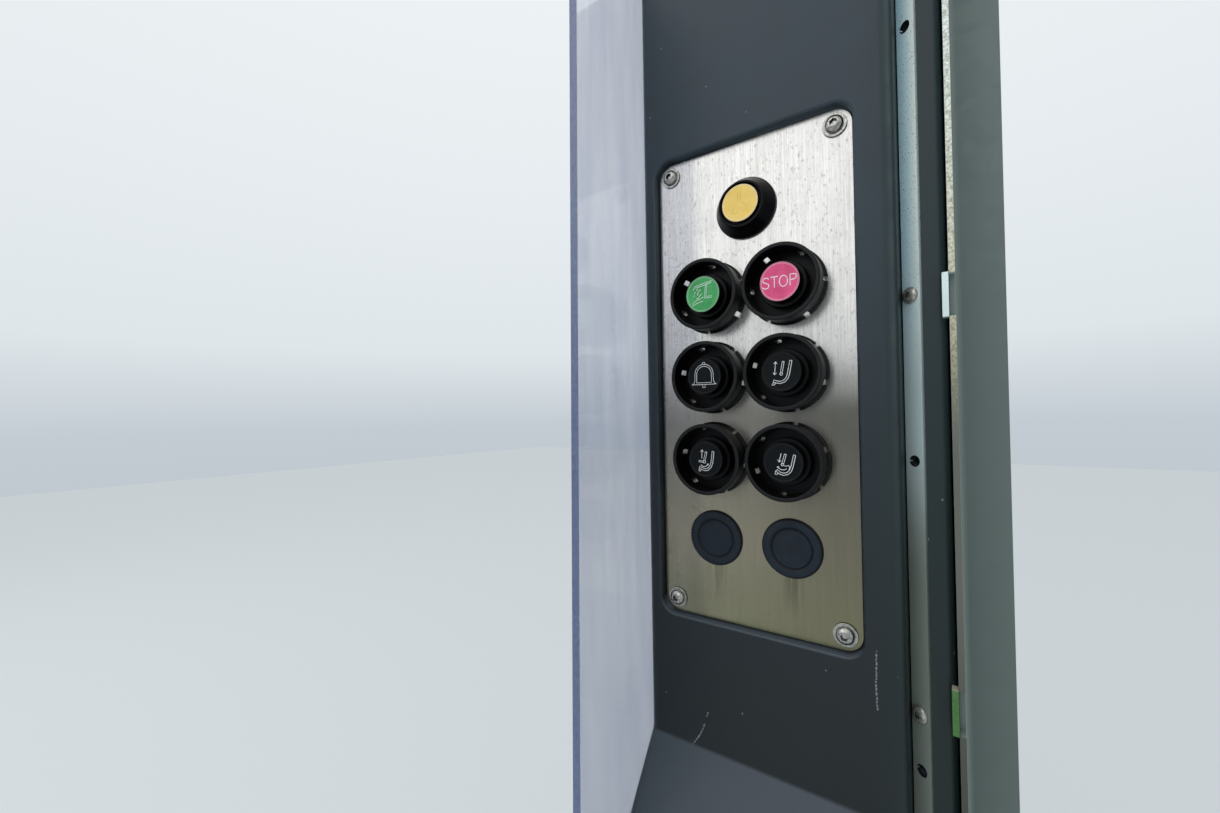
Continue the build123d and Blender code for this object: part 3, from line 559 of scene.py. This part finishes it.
# Edge trim
# A narrow moulding of the same plastic beside the housing, bevelled on its left
# side to carry the clamp strip and rounded on its right edge. Clearance holes
# 7 mm deep lie behind the strip's open holes.
low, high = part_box("clamp_strip")
strip_lean = math.radians(-38)
strip_edge = Matrix.Translation((0.0861, -0.059, 0))
strip_place = (strip_edge @ Matrix.Rotation(math.pi / 2, 4, "X")
               @ Matrix.Rotation(strip_lean, 4, "Y"))
strip_width, strip_thick, strip_hole = 0.0113, 0.002, 6.2
middle, length = (low.z + high.z) / 2, high.z - low.z
open_holes = (0.2007, -0.0484, -0.2226, 0.292, -0.352)
screw_levels = (0.046, -0.1912, 0.268, -0.330)
trim = sheet_copy("edge_trim", "bevelled_edge_trim")
clearance = pins([(strip_width / 2, level) for level in open_holes], strip_hole)
drilled = Matrix.Translation((0, 0, 0.006))
cut(trim, settle(clearance, strip_place @ drilled))
soften(trim, 0.4)
trim.data.materials.append(moulding)
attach(trim, "station")

# Clamp strip
# Galvanised flat bar 11.3 mm wide and 2 mm thick on the trim's bevel, with a
# row of punched holes, held by M5 button-head screws.


def block(name, middle, size):
    """A box round its middle, of a size in metres."""
    piece = new_piece(name, bpy.ops.mesh.primitive_cube_add, size=1, location=middle)
    piece.scale = size
    bpy.ops.object.transform_apply()
    return piece


strip = block("punched_clamp_strip", (strip_width / 2, middle, -strip_thick / 2),
              (strip_width, length, strip_thick))
for levels, diameter in ((open_holes, strip_hole), (screw_levels, 5.6)):
    cut(strip, pins([(strip_width / 2, level) for level in levels], diameter))
soften(strip, 0.25)
settle(strip, strip_place)

# Rolled galvanised bar: chalky pale zinc with fine dark pits. It is painted
# brighter towards its outer edge, a painted highlight, and a darker green-grey
# low down, a painted shade.
chalky, tree, shader, where = new_finish("chalky_galvanised_bar")
pit = add(tree, "TexNoise", {"Vector": where, "Scale": 1100, "Detail": 3})
across = add(tree, "SeparateXYZ", {"Vector": where}).outputs["X"]
outward = add(tree, "MapRange", {"Value": across, "From Min": 0.086, "From Max": 0.095})
# Painted highlight: brighter towards the outer edge.
graded = add(tree, "ValToRGB", {"Fac": outward}, stops=((0.0, "#cbf3ff"), (0.5, "#dcf9ff"), (0.9, "#f2fff9")))
specked = laid_over(tree, graded, "#6f8085", pit, 0.58, 0.7, 0.6)
# Painted shade: darker green-grey towards the bottom.
painted_low_shade = darkened_downward(tree, where, specked, ("#bccdce", 0.14, 0.0), ("#7e877f", 0.0, -0.09))
grain = add(tree, "Bump", {"Height": pit, "Strength": 0.15, "Distance": 0.0003})
feed(tree, shader, {"Base Color": painted_low_shade, "Roughness": 0.5, "Normal": grain})
strip.data.materials.append(chalky)
# The strip's hole walls, which face up or down, but not its two ends, are
# painted dark: a painted shadow inside the holes.
second_finish(strip, dark_crevice, lambda centre, normal: abs(normal.z) > 0.05
              and abs(centre.z - middle) < length / 2.01)

# Weathered zinc-plated screws: grey, dulled to a soft shine.
weathered = two_tone("weathered_zinc_screw", 900, 4, (0.35, "#7b7c74"), (0.65, "#bcbdb4"), Metallic=0.6,
                     Roughness=0.33)

screw_places = [strip_place @ Matrix.Translation((strip_width / 2, level, 0)) @ turn
                for level, turn in zip(screw_levels, turns)]
m5 = {"head": 9.5, "tall": 2.75, "shank": 5.0, "socket": 3.0}
strip_screws = copies(button_screw(**m5, long=8, finish=weathered), screw_places, "strip_button_screws")
for piece, node, slot in ((strip, "clamp_strip", "galvanised"), (strip_screws, "strip_screws", "stainless")):
    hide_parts(node)
    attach(piece, "station")

# Edge tabs
# Two small joggled tabs in notches of the web, a sheet's thickness inboard of
# it: the upper one bare zinc, the lower one painted green.

# Green enamel over zinc: even, half gloss, chipped to pale metal on its top lip.
enamel, tree, shader, where = new_finish("green_enamel_on_zinc")
green = clouded(tree, where, 500, 4, (0.3, "#38612b"), (0.7, "#477535"))[1]
chipped = laid_over(tree, green, "#b0a892", way_faced(tree).outputs["Z"], 0.3, 0.8)
feed(tree, shader, {"Base Color": chipped, "Roughness": 0.42})

for level, finish, slot in (("upper", galvanised, "galvanised"), ("lower", enamel, "green_paint")):
    low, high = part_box("edge_tab_" + level)
    tab = block("joggled_tab_" + level, (low + high) / 2, high - low)
    choose(tab, "FACE", lambda place, normal: normal.y < -0.7)
    bpy.ops.mesh.inset(thickness=0.0006, depth=-0.0002)
    bpy.ops.object.mode_set(mode="OBJECT")
    soften(tab, 0.3, 3)
    tab.data.materials.append(finish)
    if level == "upper":
        second_finish(tab, chalky, lambda centre, normal: normal.y < -0.6)
    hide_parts("edge_tab_" + level)
    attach(tab, "station")

# Clear guard
# A 6 mm sheet of clear polycarbonate on the housing's left side, standing out
# past the buttons. Its sawn edge glows slate blue between two light corners.

# Solid polycarbonate: clear with a faint lavender cast, haze and fine wiping
# marks. A sheet this size looks blue only along its length, at the cut edge.
clear, tree, shader, where = new_finish("clear_polycarbonate_sheet")
wipe = add(tree, "Mapping", {"Vector": where, "Scale": (1, 1, 0.12)})
marks, haze = clouded(tree, wipe, 90, 6, (0.3, "#d9dcea"), (0.7, "#eceef6"))
graded = add(tree, "MapRange", {"Value": marks, "To Min": 0.01, "To Max": 0.07})
feed(tree, shader, {"Base Color": haze, "Roughness": graded, "IOR": 1.58, "Transmission Weight": 0.88})

# The same sheet's sawn edge: slate blue, frosted by the saw.
sawn_clear = two_tone("sawn_polycarbonate_edge", 400, 4, (0.3, "#53618a"), (0.7, "#687699"), Roughness=0.35,
                      IOR=1.58, Transmission_Weight=0.25)

low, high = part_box("clear_guard")
guard_corner, guard_thick, guard_screw_depth = 0.022, 0.006, -0.045
guard = new_piece("clear_guard_sheet", bpy.ops.mesh.primitive_plane_add, size=1)
bpy.ops.object.mode_set(mode="EDIT")
bpy.ops.transform.resize(value=(high.y - low.y, high.z - low.z, 1))
bpy.ops.transform.translate(value=((low.y + high.y) / 2, (low.z + high.z) / 2, 0))
bpy.ops.object.mode_set(mode="OBJECT")

# The free edge leans: its top stands out 10 mm less than its foot.
guard_lean = 0.010
choose(guard, "VERT", lambda place, normal: place.x < low.y + 0.001 and place.y > 0)
bpy.ops.transform.translate(value=(guard_lean, 0, 0))
bpy.ops.object.mode_set(mode="OBJECT")
choose(guard, "VERT", lambda place, normal: place.x < -0.1)
bpy.ops.mesh.bevel(affect="VERTICES", offset=guard_corner, segments=10)
thicken(guard_thick)
guard_levels = (0.255, 0.085, -0.085, -0.255)
cut(guard, pins([(guard_screw_depth, level) for level in guard_levels], screw_hole))
soften(guard, 0.35, 2)
outward = Matrix(((0, 0, 1, low.x), (1, 0, 0, 0), (0, 1, 0, 0), (0, 0, 0, 1)))
settle(guard, outward)
guard.data.materials.append(clear)
second_finish(guard, sawn_clear, lambda centre, normal: abs(normal.x) < 0.2 and centre.y < -0.06)
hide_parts("clear_guard")
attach(guard, "station")

# Guard washers and screws: M6 button heads on 18 mm washers, on the outer face.
guard_places = [Matrix(((0, 0, -1, low.x), (0, 1, 0, guard_screw_depth), (1, 0, 0, level), (0, 0, 0, 1)))
                for level in guard_levels]
guard_washers = copies(washer(18.0, screw_hole, washer_thick), guard_places, "guard_rolled_washers")
guard_screws = copies(button_screw(**m6, long=15.7), [place @ raised for place in guard_places],
                      "guard_button_screws")
for piece, node in ((guard_washers, "guard_washers"), (guard_screws, "guard_screws")):
    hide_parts(node)
    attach(piece, "station")

# Behind the plate
# Lock nuts and contact blocks of black nylon, zinc-plated inserts, and the zinc-
# plated countersunk screws that hold the housing from behind. Their sharp edges
# are eased by 0.2 mm.

# Black glass-filled nylon: nearly black, half matt, with a fine moulded grain
# and a faint grey bloom of dust.
nylon, tree, shader, where = new_finish("black_glass_filled_nylon")
bloom, black = clouded(tree, where, 70, 6, (0.35, "#08090a"), (0.75, "#0f1012"))
grit = add(tree, "TexNoise", {"Vector": where, "Scale": 1400, "Detail": 2})
grain = add(tree, "Bump", {"Height": grit, "Strength": 0.1, "Distance": 0.0003})
matt = add(tree, "MapRange", {"Value": bloom, "To Min": 0.34, "To Max": 0.5})
feed(tree, shader, {"Base Color": black, "Roughness": matt, "Specular IOR Level": 0.22, "Normal": grain})

# Black acetal, for the barrels, the cone and the caps' stems: clean, glossy and
# very dark. On the collars' insides it is a painted shade in the wells.
acetal = two_tone("black_turned_acetal", 200, 4, (0.35, "#040405"), (0.75, "#0a0a0c"), Roughness=0.3,
                  Specular_IOR_Level=0.12)

# Bright zinc plating: pale grey, half gloss.
plating = two_tone("bright_zinc_plating", 300, 4, (0.3, "#a5a6a2"), (0.7, "#c6c6c1"), Metallic=0.9,
                   Roughness=0.34)

for node, finish, slot in (("lock_nuts", nylon, "black_moulding"),
                           ("contact_blocks", nylon, "black_moulding"),
                           ("plate_inserts", plating, "zinc"), ("housing_screws", plating, "zinc")):
    piece = sheet_copy(node, node + "_eased")
    soften(piece, 0.2)
    piece.data.materials.append(finish)
    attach(piece, "station")

# Guard collars
# Six black nylon rings that keep a button from being pressed by accident. Each
# has a rolled lip, a fine groove, a foot bead and six drain slots at its foot.


def arc(cx, cy, radius, start, end, steps):
    """Points along an arc, angles in degrees."""
    turns = [math.radians(start + (end - start) * step / steps) for step in range(steps + 1)]
    return [(cx + radius * math.cos(turn), cy + radius * math.sin(turn)) for turn in turns]


collar_profile = ([(11.15, 0), (24.45, 0)] + arc(23.45, 1.6, 1.0, 0, 80, 5)
                  + [(23.15, 2.9), (23.2, 13.6), (22.95, 13.9), (22.95, 14.4), (23.45, 14.7)]
                  + arc(22.65, 16.2, 0.8, 0, 90, 5) + arc(21.6, 16.2, 0.8, 90, 180, 5)
                  + [(20.8, 2.5), (11.15, 2.5), (11.15, 0)])
collar_model = turned("collar_model", collar_profile, 120)
slot_middle, slot_size, slots = (0.0225, 0, 0.003), (0.0055, 0.0034, 0.008), []
for number in range(6):
    slots.append(block("slot", slot_middle, slot_size))
    bpy.ops.transform.rotate(value=-math.radians(60 * number), orient_axis="Z", center_override=(0, 0, 0))
cut(collar_model, joined(slots))
soften(collar_model, 0.12, 1)
collar_turns = {"green": 24, "stop": 2, "bell": 48, "lift": 43, "raise": 50, "lower": 20}
# The inside is glossier and darker, a painted shade in the well: all that lies within 21.1 mm of the axis.
inside = 0.0211
for name, turn in collar_turns.items():
    x, z = axis_of("barrel_" + name)
    collar = twin(collar_model)
    collar.name = collar.data.name = "guard_collar_" + name
    settle(collar, on_plate(x, z) @ Matrix.Rotation(math.radians(turn), 4, "Z"))
    collar.data.materials.append(nylon)
    second_finish(collar, acetal, lambda centre, normal: math.dist((centre.x, centre.z), (x, z)) < inside)
    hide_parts("collar_" + name)
    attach(collar, "station")
bpy.data.objects.remove(collar_model)

# Button barrels
# Threaded black acetal barrels with the bezel ring that each cap slides in, held
# by a lock nut behind. The top button's bezel is narrower and sits in its cone.


def barrel(name, floor, bezel):
    """A barrel with its bezel, its floor and bezel in millimetres."""
    thread = []
    for number in range(9):
        thread += [(11.0, -20 + number * 1.5), (10.4, -19.25 + number * 1.5)]
    return turned(name, [(0, -22), (10.6, -22)] + thread + [(11.0, -6), (11.0, floor), (bezel / 2, floor)]
                  + arc(bezel / 2 - 0.7, 8.5, 0.7, 0, 90, 4)
                  + [(12.15, 9.2), (12.15, floor + 1.5), (9.3, floor + 1.5), (9.3, -16), (0, -16)], 72)


for name in buttons:
    floor, bezel = (2.0, 26.4) if name == "horn" else (2.5, 29.4)
    ring = barrel("bezel_and_barrel_" + name, floor, bezel)
    soften(ring, 0, smooth=30)
    settle(ring, on_plate(*axis_of("barrel_" + name)))
    ring.data.materials.append(acetal)
    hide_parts("barrel_" + name)
    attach(ring, "station")

# Horn cone
# A turned black acetal cone that raises the top button's bezel from the plate,
# with a thin foot flange. The barrel clamps it down.
cone_profile = ([(11.15, 0)] + arc(19.3, 0.6, 0.6, -90, 0, 3) + [(19.9, 1.6)] + arc(19.0, 1.9, 0.6, 30, 65, 3)
                + arc(14.2, 9.4, 1.0, 50, 90, 5) + [(13.5, 10.4), (13.5, 2.0), (11.15, 2.0), (11.15, 0)])
cone = turned("horn_cone_bezel", cone_profile, 120)
soften(cone, 0.15, 2)
settle(cone, on_plate(*axis_of("barrel_horn")))
cone.data.materials.append(acetal)
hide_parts("horn_cone")
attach(cone, "station")

# Push caps
# Seven dished caps of dyed satin plastic on their stems, three coloured and four
# black. Each rides on its own sprung slide and carries a printed symbol.


def cap_finish(name, dark, light, rough, specular, lip):
    """Dyed satin plastic: slightly clouded, with fine grain and a paler lip, a painted highlight."""
    material, tree, shader, where = new_finish(name)
    colour = clouded(tree, where, 160, 5, (0.3, dark), (0.7, light))[1]
    # Painted highlight: the rounded lip is paler by its share.
    lipped = laid_over(tree, colour, "#ffffff", way_faced(tree).outputs["Y"], -0.98, -0.85, lip)
    texture = add(tree, "TexNoise", {"Vector": where, "Scale": 1800, "Detail": 2})
    bump = add(tree, "Bump", {"Height": texture, "Strength": 0.06, "Distance": 0.0002})
    feed(tree, shader, {"Base Color": lipped, "Roughness": rough, "Specular IOR Level": specular,
                        "Normal": bump})
    return material


cap_finishes = {
    "cap_green": cap_finish("satin_plastic_green", "#33924c", "#45a660", 0.45, 0.4, 0.3),
    "cap_red": cap_finish("satin_plastic_red", "#cd3c6f", "#e15386", 0.45, 0.4, 0.35),
    "cap_yellow": cap_finish("satin_plastic_yellow", "#edc65e", "#f4d272", 0.4, 0.4, 0.4),
    "cap_black": cap_finish("satin_plastic_black", "#06090c", "#0b0f12", 0.42, 0.12, 0.01),
}
cap_slots = {"green": "cap_green", "stop": "cap_red", "horn": "cap_yellow"}
cap_fronts = {}
for name in buttons:
    floor, front = (2.0, 11.8) if name == "horn" else (2.5, 15.6)
    skirt = floor + 6.0
    cap_fronts[name] = front - 0.4
    cap = turned("push_cap_" + name, [(0, -10), (9.0, -10), (9.0, skirt), (11.85, skirt)]
                 + arc(11.25, front - 0.6, 0.6, 0, 90, 6)
                 + [(11.0, front - 0.05), (10.75, front - 0.25), (10.5, front - 0.4), (0, front - 0.4)], 96)
    soften(cap, 0, smooth=50)
    settle(cap, on_plate(*axis_of("barrel_" + name)))
    slot = cap_slots.get(name, "cap_black")
    cap.data.materials.append(cap_finishes[slot])
    second_finish(cap, acetal, lambda centre, normal: normal.y > -0.4)
    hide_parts("cap_" + name)
    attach(cap, "push_" + name)

# Symbols
# White ink lines on the caps, printed and lacquered: a bell, a lifting arm with
# arrows, a loader, and the word STOP. The ink stands 0.02 to 0.04 mm proud.

# White screen ink, a little uneven and rubbed.
ink = two_tone("white_screen_ink", 900, 4, (0.3, "#c6cbcd"), (0.5, "#eef1f1"), Roughness=0.5)


def print_lines(name, strokes, width=0.36):
    """Print (across, up) strokes in millimetres on a cap; they ride on it."""
    drawing = bpy.data.curves.new("symbol_" + name, "CURVE")
    drawing.dimensions = "3D"
    drawing.bevel_depth = width / 2000
    drawing.bevel_resolution = 1
    drawing.use_fill_caps = True
    for stroke in strokes:
        line = drawing.splines.new("POLY")
        line.points.add(len(stroke) - 1)
        for point, (across, up) in zip(line.points, stroke):
            point.co = (across / 1000, up / 1000, 0, 1)
    symbol = bpy.data.objects.new("symbol_" + name, drawing)
    bpy.context.collection.objects.link(symbol)
    only(symbol)
    bpy.ops.object.convert(target="MESH")
    symbol = bpy.context.active_object
    flat = Matrix.Translation((0, 0, cap_fronts[name] / 1000)) @ Matrix.Diagonal((1, 1, 0.15, 1))
    settle(symbol, on_plate(*axis_of("barrel_" + name)) @ flat)
    symbol.data.materials.append(ink)
    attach(symbol, "push_" + name)
    return symbol


print_lines("bell", [
    [(-8.6, -5.0), (-7.4, -4.6), (-6.6, -2.4)] + arc(0, 1.6, 6.5, 180, 0, 20)
    + [(6.6, -2.4), (7.4, -4.6), (8.6, -5.0)],
    [(-5.3, -4.0)] + arc(0, 1.6, 5.2, 180, 0, 18) + [(5.3, -4.0), (-5.3, -4.0)],
    [(-8.6, -5.2), (8.6, -5.2)],
    [(-1.1, 8.2), (-0.9, 9.3), (0.7, 9.3), (0.9, 8.2)],
    [(-1.0, -5.5), (-1.0, -7.2), (0.7, -7.2), (0.7, -5.5)],
], width=0.3)


def band(points, width):
    """The closed outline of a bar of a width that follows some points."""
    sides = []
    for number, (x, y) in enumerate(points):
        (x0, y0), (x1, y1) = points[max(number - 1, 0)], points[min(number + 1, len(points) - 1)]
        long = math.hypot(x1 - x0, y1 - y0)
        out_x, out_y = (y0 - y1) / long * width / 2, (x1 - x0) / long * width / 2
        sides.append(((x + out_x, y + out_y), (x - out_x, y - out_y)))
    outline = [near for near, far in sides] + [far for near, far in reversed(sides)]
    return outline + outline[:1]


def arrow(x0, y0, x1, y1, both=False):
    """An arrow from one point to another, with a head at the second or at both."""
    strokes = [[(x0, y0), (x1, y1)]]
    turn = math.atan2(y1 - y0, x1 - x0)
    for x, y, way in ((x1, y1, turn), (x0, y0, turn + math.pi))[:2 if both else 1]:
        head = [(x - 1.7 * math.cos(way + side), y - 1.7 * math.sin(way + side)) for side in (0.65, -0.65)]
        strokes.append([head[0], (x, y), head[1]])
    return strokes


print_lines("lift", arrow(-4.0, -1.6, -3.2, 6.4, True) + [
    band([(1.3, 6.2), (0.1, -0.5)], 1.1), arc(0.0, -1.2, 0.8, 0, 360, 12),
    band([(5.8, 6.5), (4.2, -1.6), (3.3, -3.9), (1.6, -5.6), (-0.8, -6.3), (-2.8, -5.9), (-4.6, -5.2)], 1.3),
    [(-4.4, -5.9), (-5.7, -7.6), (-4.4, -7.8), (-3.4, -6.6)],
])
print_lines("raise", arrow(-2.6, 0.4, -2.3, 6.2) + [
    band([(0.5, 4.9), (-0.7, -0.8)], 1.1), arc(-0.8, -1.6, 0.9, 0, 360, 12),
    band([(-4.6, -1.4), (-1.9, -1.6)], 0.9),
    [(-3.3, -3.6), (-2.3, -4.6), (-1.0, -4.9), (0.4, -4.5), (1.4, -3.6)], arc(1.6, -3.3, 0.4, 0, 360, 8),
    band([(5.4, 5.3), (4.5, -2.0), (3.4, -4.8), (1.4, -6.6), (-0.6, -6.9), (-2.8, -6.2), (-4.4, -5.4)], 1.3),
    [(-4.4, -6.0), (-4.9, -7.8), (-3.7, -8.0), (-3.3, -6.8)],
])
print_lines("lower", arrow(-1.0, 5.6, -2.4, 0.3) + [
    band([(1.5, 5.2), (-0.1, -0.3)], 1.1), arc(-0.4, -1.1, 0.7, 0, 360, 12),
    [(-2.8, -2.9), (-1.9, -3.8), (-0.6, -4.2), (0.9, -4.1), (2.1, -3.5)], arc(-3.0, -2.7, 0.4, 0, 360, 8),
    [(0.4, -1.6), (1.9, -1.9), (3.2, -1.4), (3.9, -2.6), (3.4, -4.2)],
    band([(6.8, 4.8), (5.2, -2.2), (4.2, -4.7), (2.4, -6.3), (0.2, -6.8), (-1.9, -6.3), (-3.9, -4.7)], 1.3),
    [(-4.4, -4.9), (-4.9, -7.0), (-3.7, -7.3), (-3.2, -5.9)],
])
print_lines("green", [
    [(-6.8, 3.6), (-5.2, 5.9), (6.6, 8.0)], [(-4.9, 4.7), (2.2, 6.0), (6.4, 7.0)],
    [(2.2, 5.9), (1.3, -2.9), (6.6, -2.8)], [(3.1, 6.0), (2.4, -1.8), (6.4, -1.9)],
    [(-3.0, 4.0), (-4.4, 3.0)], [(-5.0, 2.3), (-5.9, 1.0)], [(-6.1, 0.2), (-6.2, -1.0)],
    [(-1.4, 3.4), (-3.2, 1.6), (-3.6, -0.4)], [(-0.4, 0.2), (-2.0, -0.6), (-2.6, -2.0), (-4.4, -2.4)],
    [(0.6, -1.8), (-1.6, -3.0), (-4.0, -3.4), (-6.6, -4.9), (-7.0, -6.8), (-4.4, -5.6), (-1.8, -5.0),
     (0.4, -4.6)],
])

# The top button's symbol is nearly worn away, so its ink is close to the cap's.
faded = two_tone("worn_screen_ink", 500, 4, (0.42, "#d9b24a"), (0.62, "#e6cf8a"), Roughness=0.45)
worn_symbol = print_lines("horn", [
    [(-1.2, 6.8), (-1.0, 1.4)], [(0.6, 7.0), (0.6, 1.4)], [(1.2, 0.4), (4.8, -3.0)],
    [(-1.8, -1.0), (-5.4, -4.4)], [(-5.8, -5.2), (-3.2, -6.0), (-1.4, -5.2)],
], width=0.45)
worn_symbol.data.materials[0] = faded

# The letters of the printed word, each round its own middle and 6.6 mm tall,
# joined as one print.
letters = [
    (-8.2, [[(1.8, 2.2), (1.2, 3.0), (0.0, 3.3), (-1.3, 3.0), (-1.8, 1.9), (-1.4, 0.8), (0.0, 0.1),
             (1.4, -0.6), (1.9, -1.7), (1.4, -2.9), (0.0, -3.3), (-1.3, -3.0), (-2.0, -2.2)]]),
    (-3.0, [[(-2.2, 3.3), (2.2, 3.3)], [(0, 3.3), (0, -3.3)]]),
    (2.4, [[(2.4 * x, 3.3 * z) for x, z in arc(0, 0, 1, 0, 360, 24)]]),
    (8.2, [[(-1.9, -3.3), (-1.9, 3.3), (0.3, 3.3), (1.4, 2.9), (1.8, 1.7), (1.4, 0.5), (0.3, 0.1),
            (-1.9, 0.1)]]),
]
word = [[(x + across, z) for across, z in stroke] for x, strokes in letters for stroke in strokes]
print_lines("stop", word, width=0.55)

# Blanking plugs
# Two moulded rubber plugs close the spare holes: a raised ring round a dish, on
# a short barrel that grips the plate from behind.

# Blue-grey rubber: matt, with a soft bloom, fine grain, and a dark line where
# the ring falls to the dish, a painted shadow.
rubber, tree, shader, where = new_finish("moulded_rubber_blue_grey")
dusk = clouded(tree, where, 110, 5, (0.3, "#141c25"), (0.7, "#1b2530"))[1]
outward = add(tree, "SeparateXYZ", {"Vector": where}).outputs["Y"]
# Painted shadow: a dark line where the ring meets the dish.
into_corner = add(tree, "MapRange", {"Value": outward, "From Min": -0.0756, "From Max": -0.0759})
out_of_corner = add(tree, "MapRange", {"Value": outward, "From Min": -0.0773, "From Max": -0.0766})
corner = add(tree, "Math", {0: into_corner, 1: out_of_corner}, operation="MULTIPLY")
dusk = add(tree, "Mix", {0: corner, 6: dusk, 7: "#0a0e13"}, data_type="RGBA")
grit = add(tree, "TexNoise", {"Vector": where, "Scale": 1500, "Detail": 2})
grain = add(tree, "Bump", {"Height": grit, "Strength": 0.08, "Distance": 0.0003})
feed(tree, shader, {"Base Color": dusk, "Roughness": 0.62, "Specular IOR Level": 0.25, "Normal": grain})

dish = [(15.0, 2.6), (14.0, 2.5), (13.2, 2.2), (12.5, 1.5), (12.0, 0.9), (11.6, 0.5), (11.0, 0.35),
        (10.2, 0.4), (6.0, 0.6), (0, 0.7)]
plug_profile = ([(0, -14), (10.4, -14), (11.0, -13.4), (11.0, 0), (18.4, 0), (18.6, 0.3), (18.5, 0.9)]
                + arc(16.2, 0.3, 2.3, 15, 80, 8) + dish)
for side in ("left", "right"):
    plug = turned("rubber_plug_" + side, plug_profile, 96)
    soften(plug, 0, smooth=60)
    settle(plug, on_plate(*axis_of("blanking_plug_" + side)))
    plug.data.materials.append(rubber)
    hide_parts("blanking_plug_" + side)
    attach(plug, "station")

# Floor
# A plain pale studio floor with matt paint. It lies below the station, which
# hangs on its mount.
floor = new_piece("studio_floor", bpy.ops.mesh.primitive_plane_add, size=12, location=(0, 0, -0.6))
painted, tree, shader, where = new_finish("pale_matt_floor_paint")
feed(tree, shader, {"Base Color": "#d3d7d9", "Roughness": 0.9})
floor.data.materials.append(painted)

# World
# Soft sky light, brighter overhead. The camera and reflections see the same sky,
# so the background stays pale and plain.
world = bpy.data.worlds.new("studio_sky")
bpy.context.scene.world = world
world.use_nodes = True
tree = world.node_tree
upward = add(tree, "SeparateXYZ", {"Vector": add(tree, "TexCoord").outputs["Generated"]}).outputs["Z"]
rise = add(tree, "MapRange", {"Value": upward, "From Min": -1, "From Max": 1})
sky = add(tree, "ValToRGB", {"Fac": rise},
          stops=((0.0, "#9aa0a4"), (0.49, "#c3ccd3"), (0.56, "#dfe6ea"), (1.0, "#f6f9fb")))
feed(tree, tree.nodes["Background"], {"Color": sky, "Strength": 1.0})

# Lights
# A very large soft lamp above and behind the operator, and a weak one to the
# left, both turned to the middle of the plate.
for name, place, size, power in (("key", (-0.6, -2.2, 1.7), 3.0, 18), ("side", (-1.8, -1.4, 0.9), 2.0, 3)):
    lamp = bpy.data.lights.new(name, "AREA")
    lamp.shape, lamp.size, lamp.energy = "DISK", size, power
    light = bpy.data.objects.new(name, lamp)
    bpy.context.collection.objects.link(light)
    light.location = place
    light.rotation_euler = (Vector((0, -0.08, 0)) - Vector(place)).to_track_quat("-Z", "Y").to_euler()

# Camera
# Close to the plate and to its right, nearly level, with a slight roll. The lens
# is about as wide as the perspective of the plate and the collars asks.
camera = bpy.data.objects.new("camera", bpy.data.cameras.new("camera"))
bpy.context.collection.objects.link(camera)
camera.data.sensor_width = 36
camera.data.lens = 14.443
camera.data.clip_start = 0.01
right, up = Vector((0.8129, 0.5822, -0.0157)), Vector((0.0203, -0.0015, 0.9998))
back = right.cross(up).normalized()
up = back.cross(right).normalized()
eye = Matrix.Translation((0.1123, -0.3893, -0.0183))
camera.matrix_world = eye @ Matrix((right, up, back)).transposed().to_4x4()
bpy.context.scene.camera = camera

bpy.context.scene.view_settings.view_transform = "Standard"
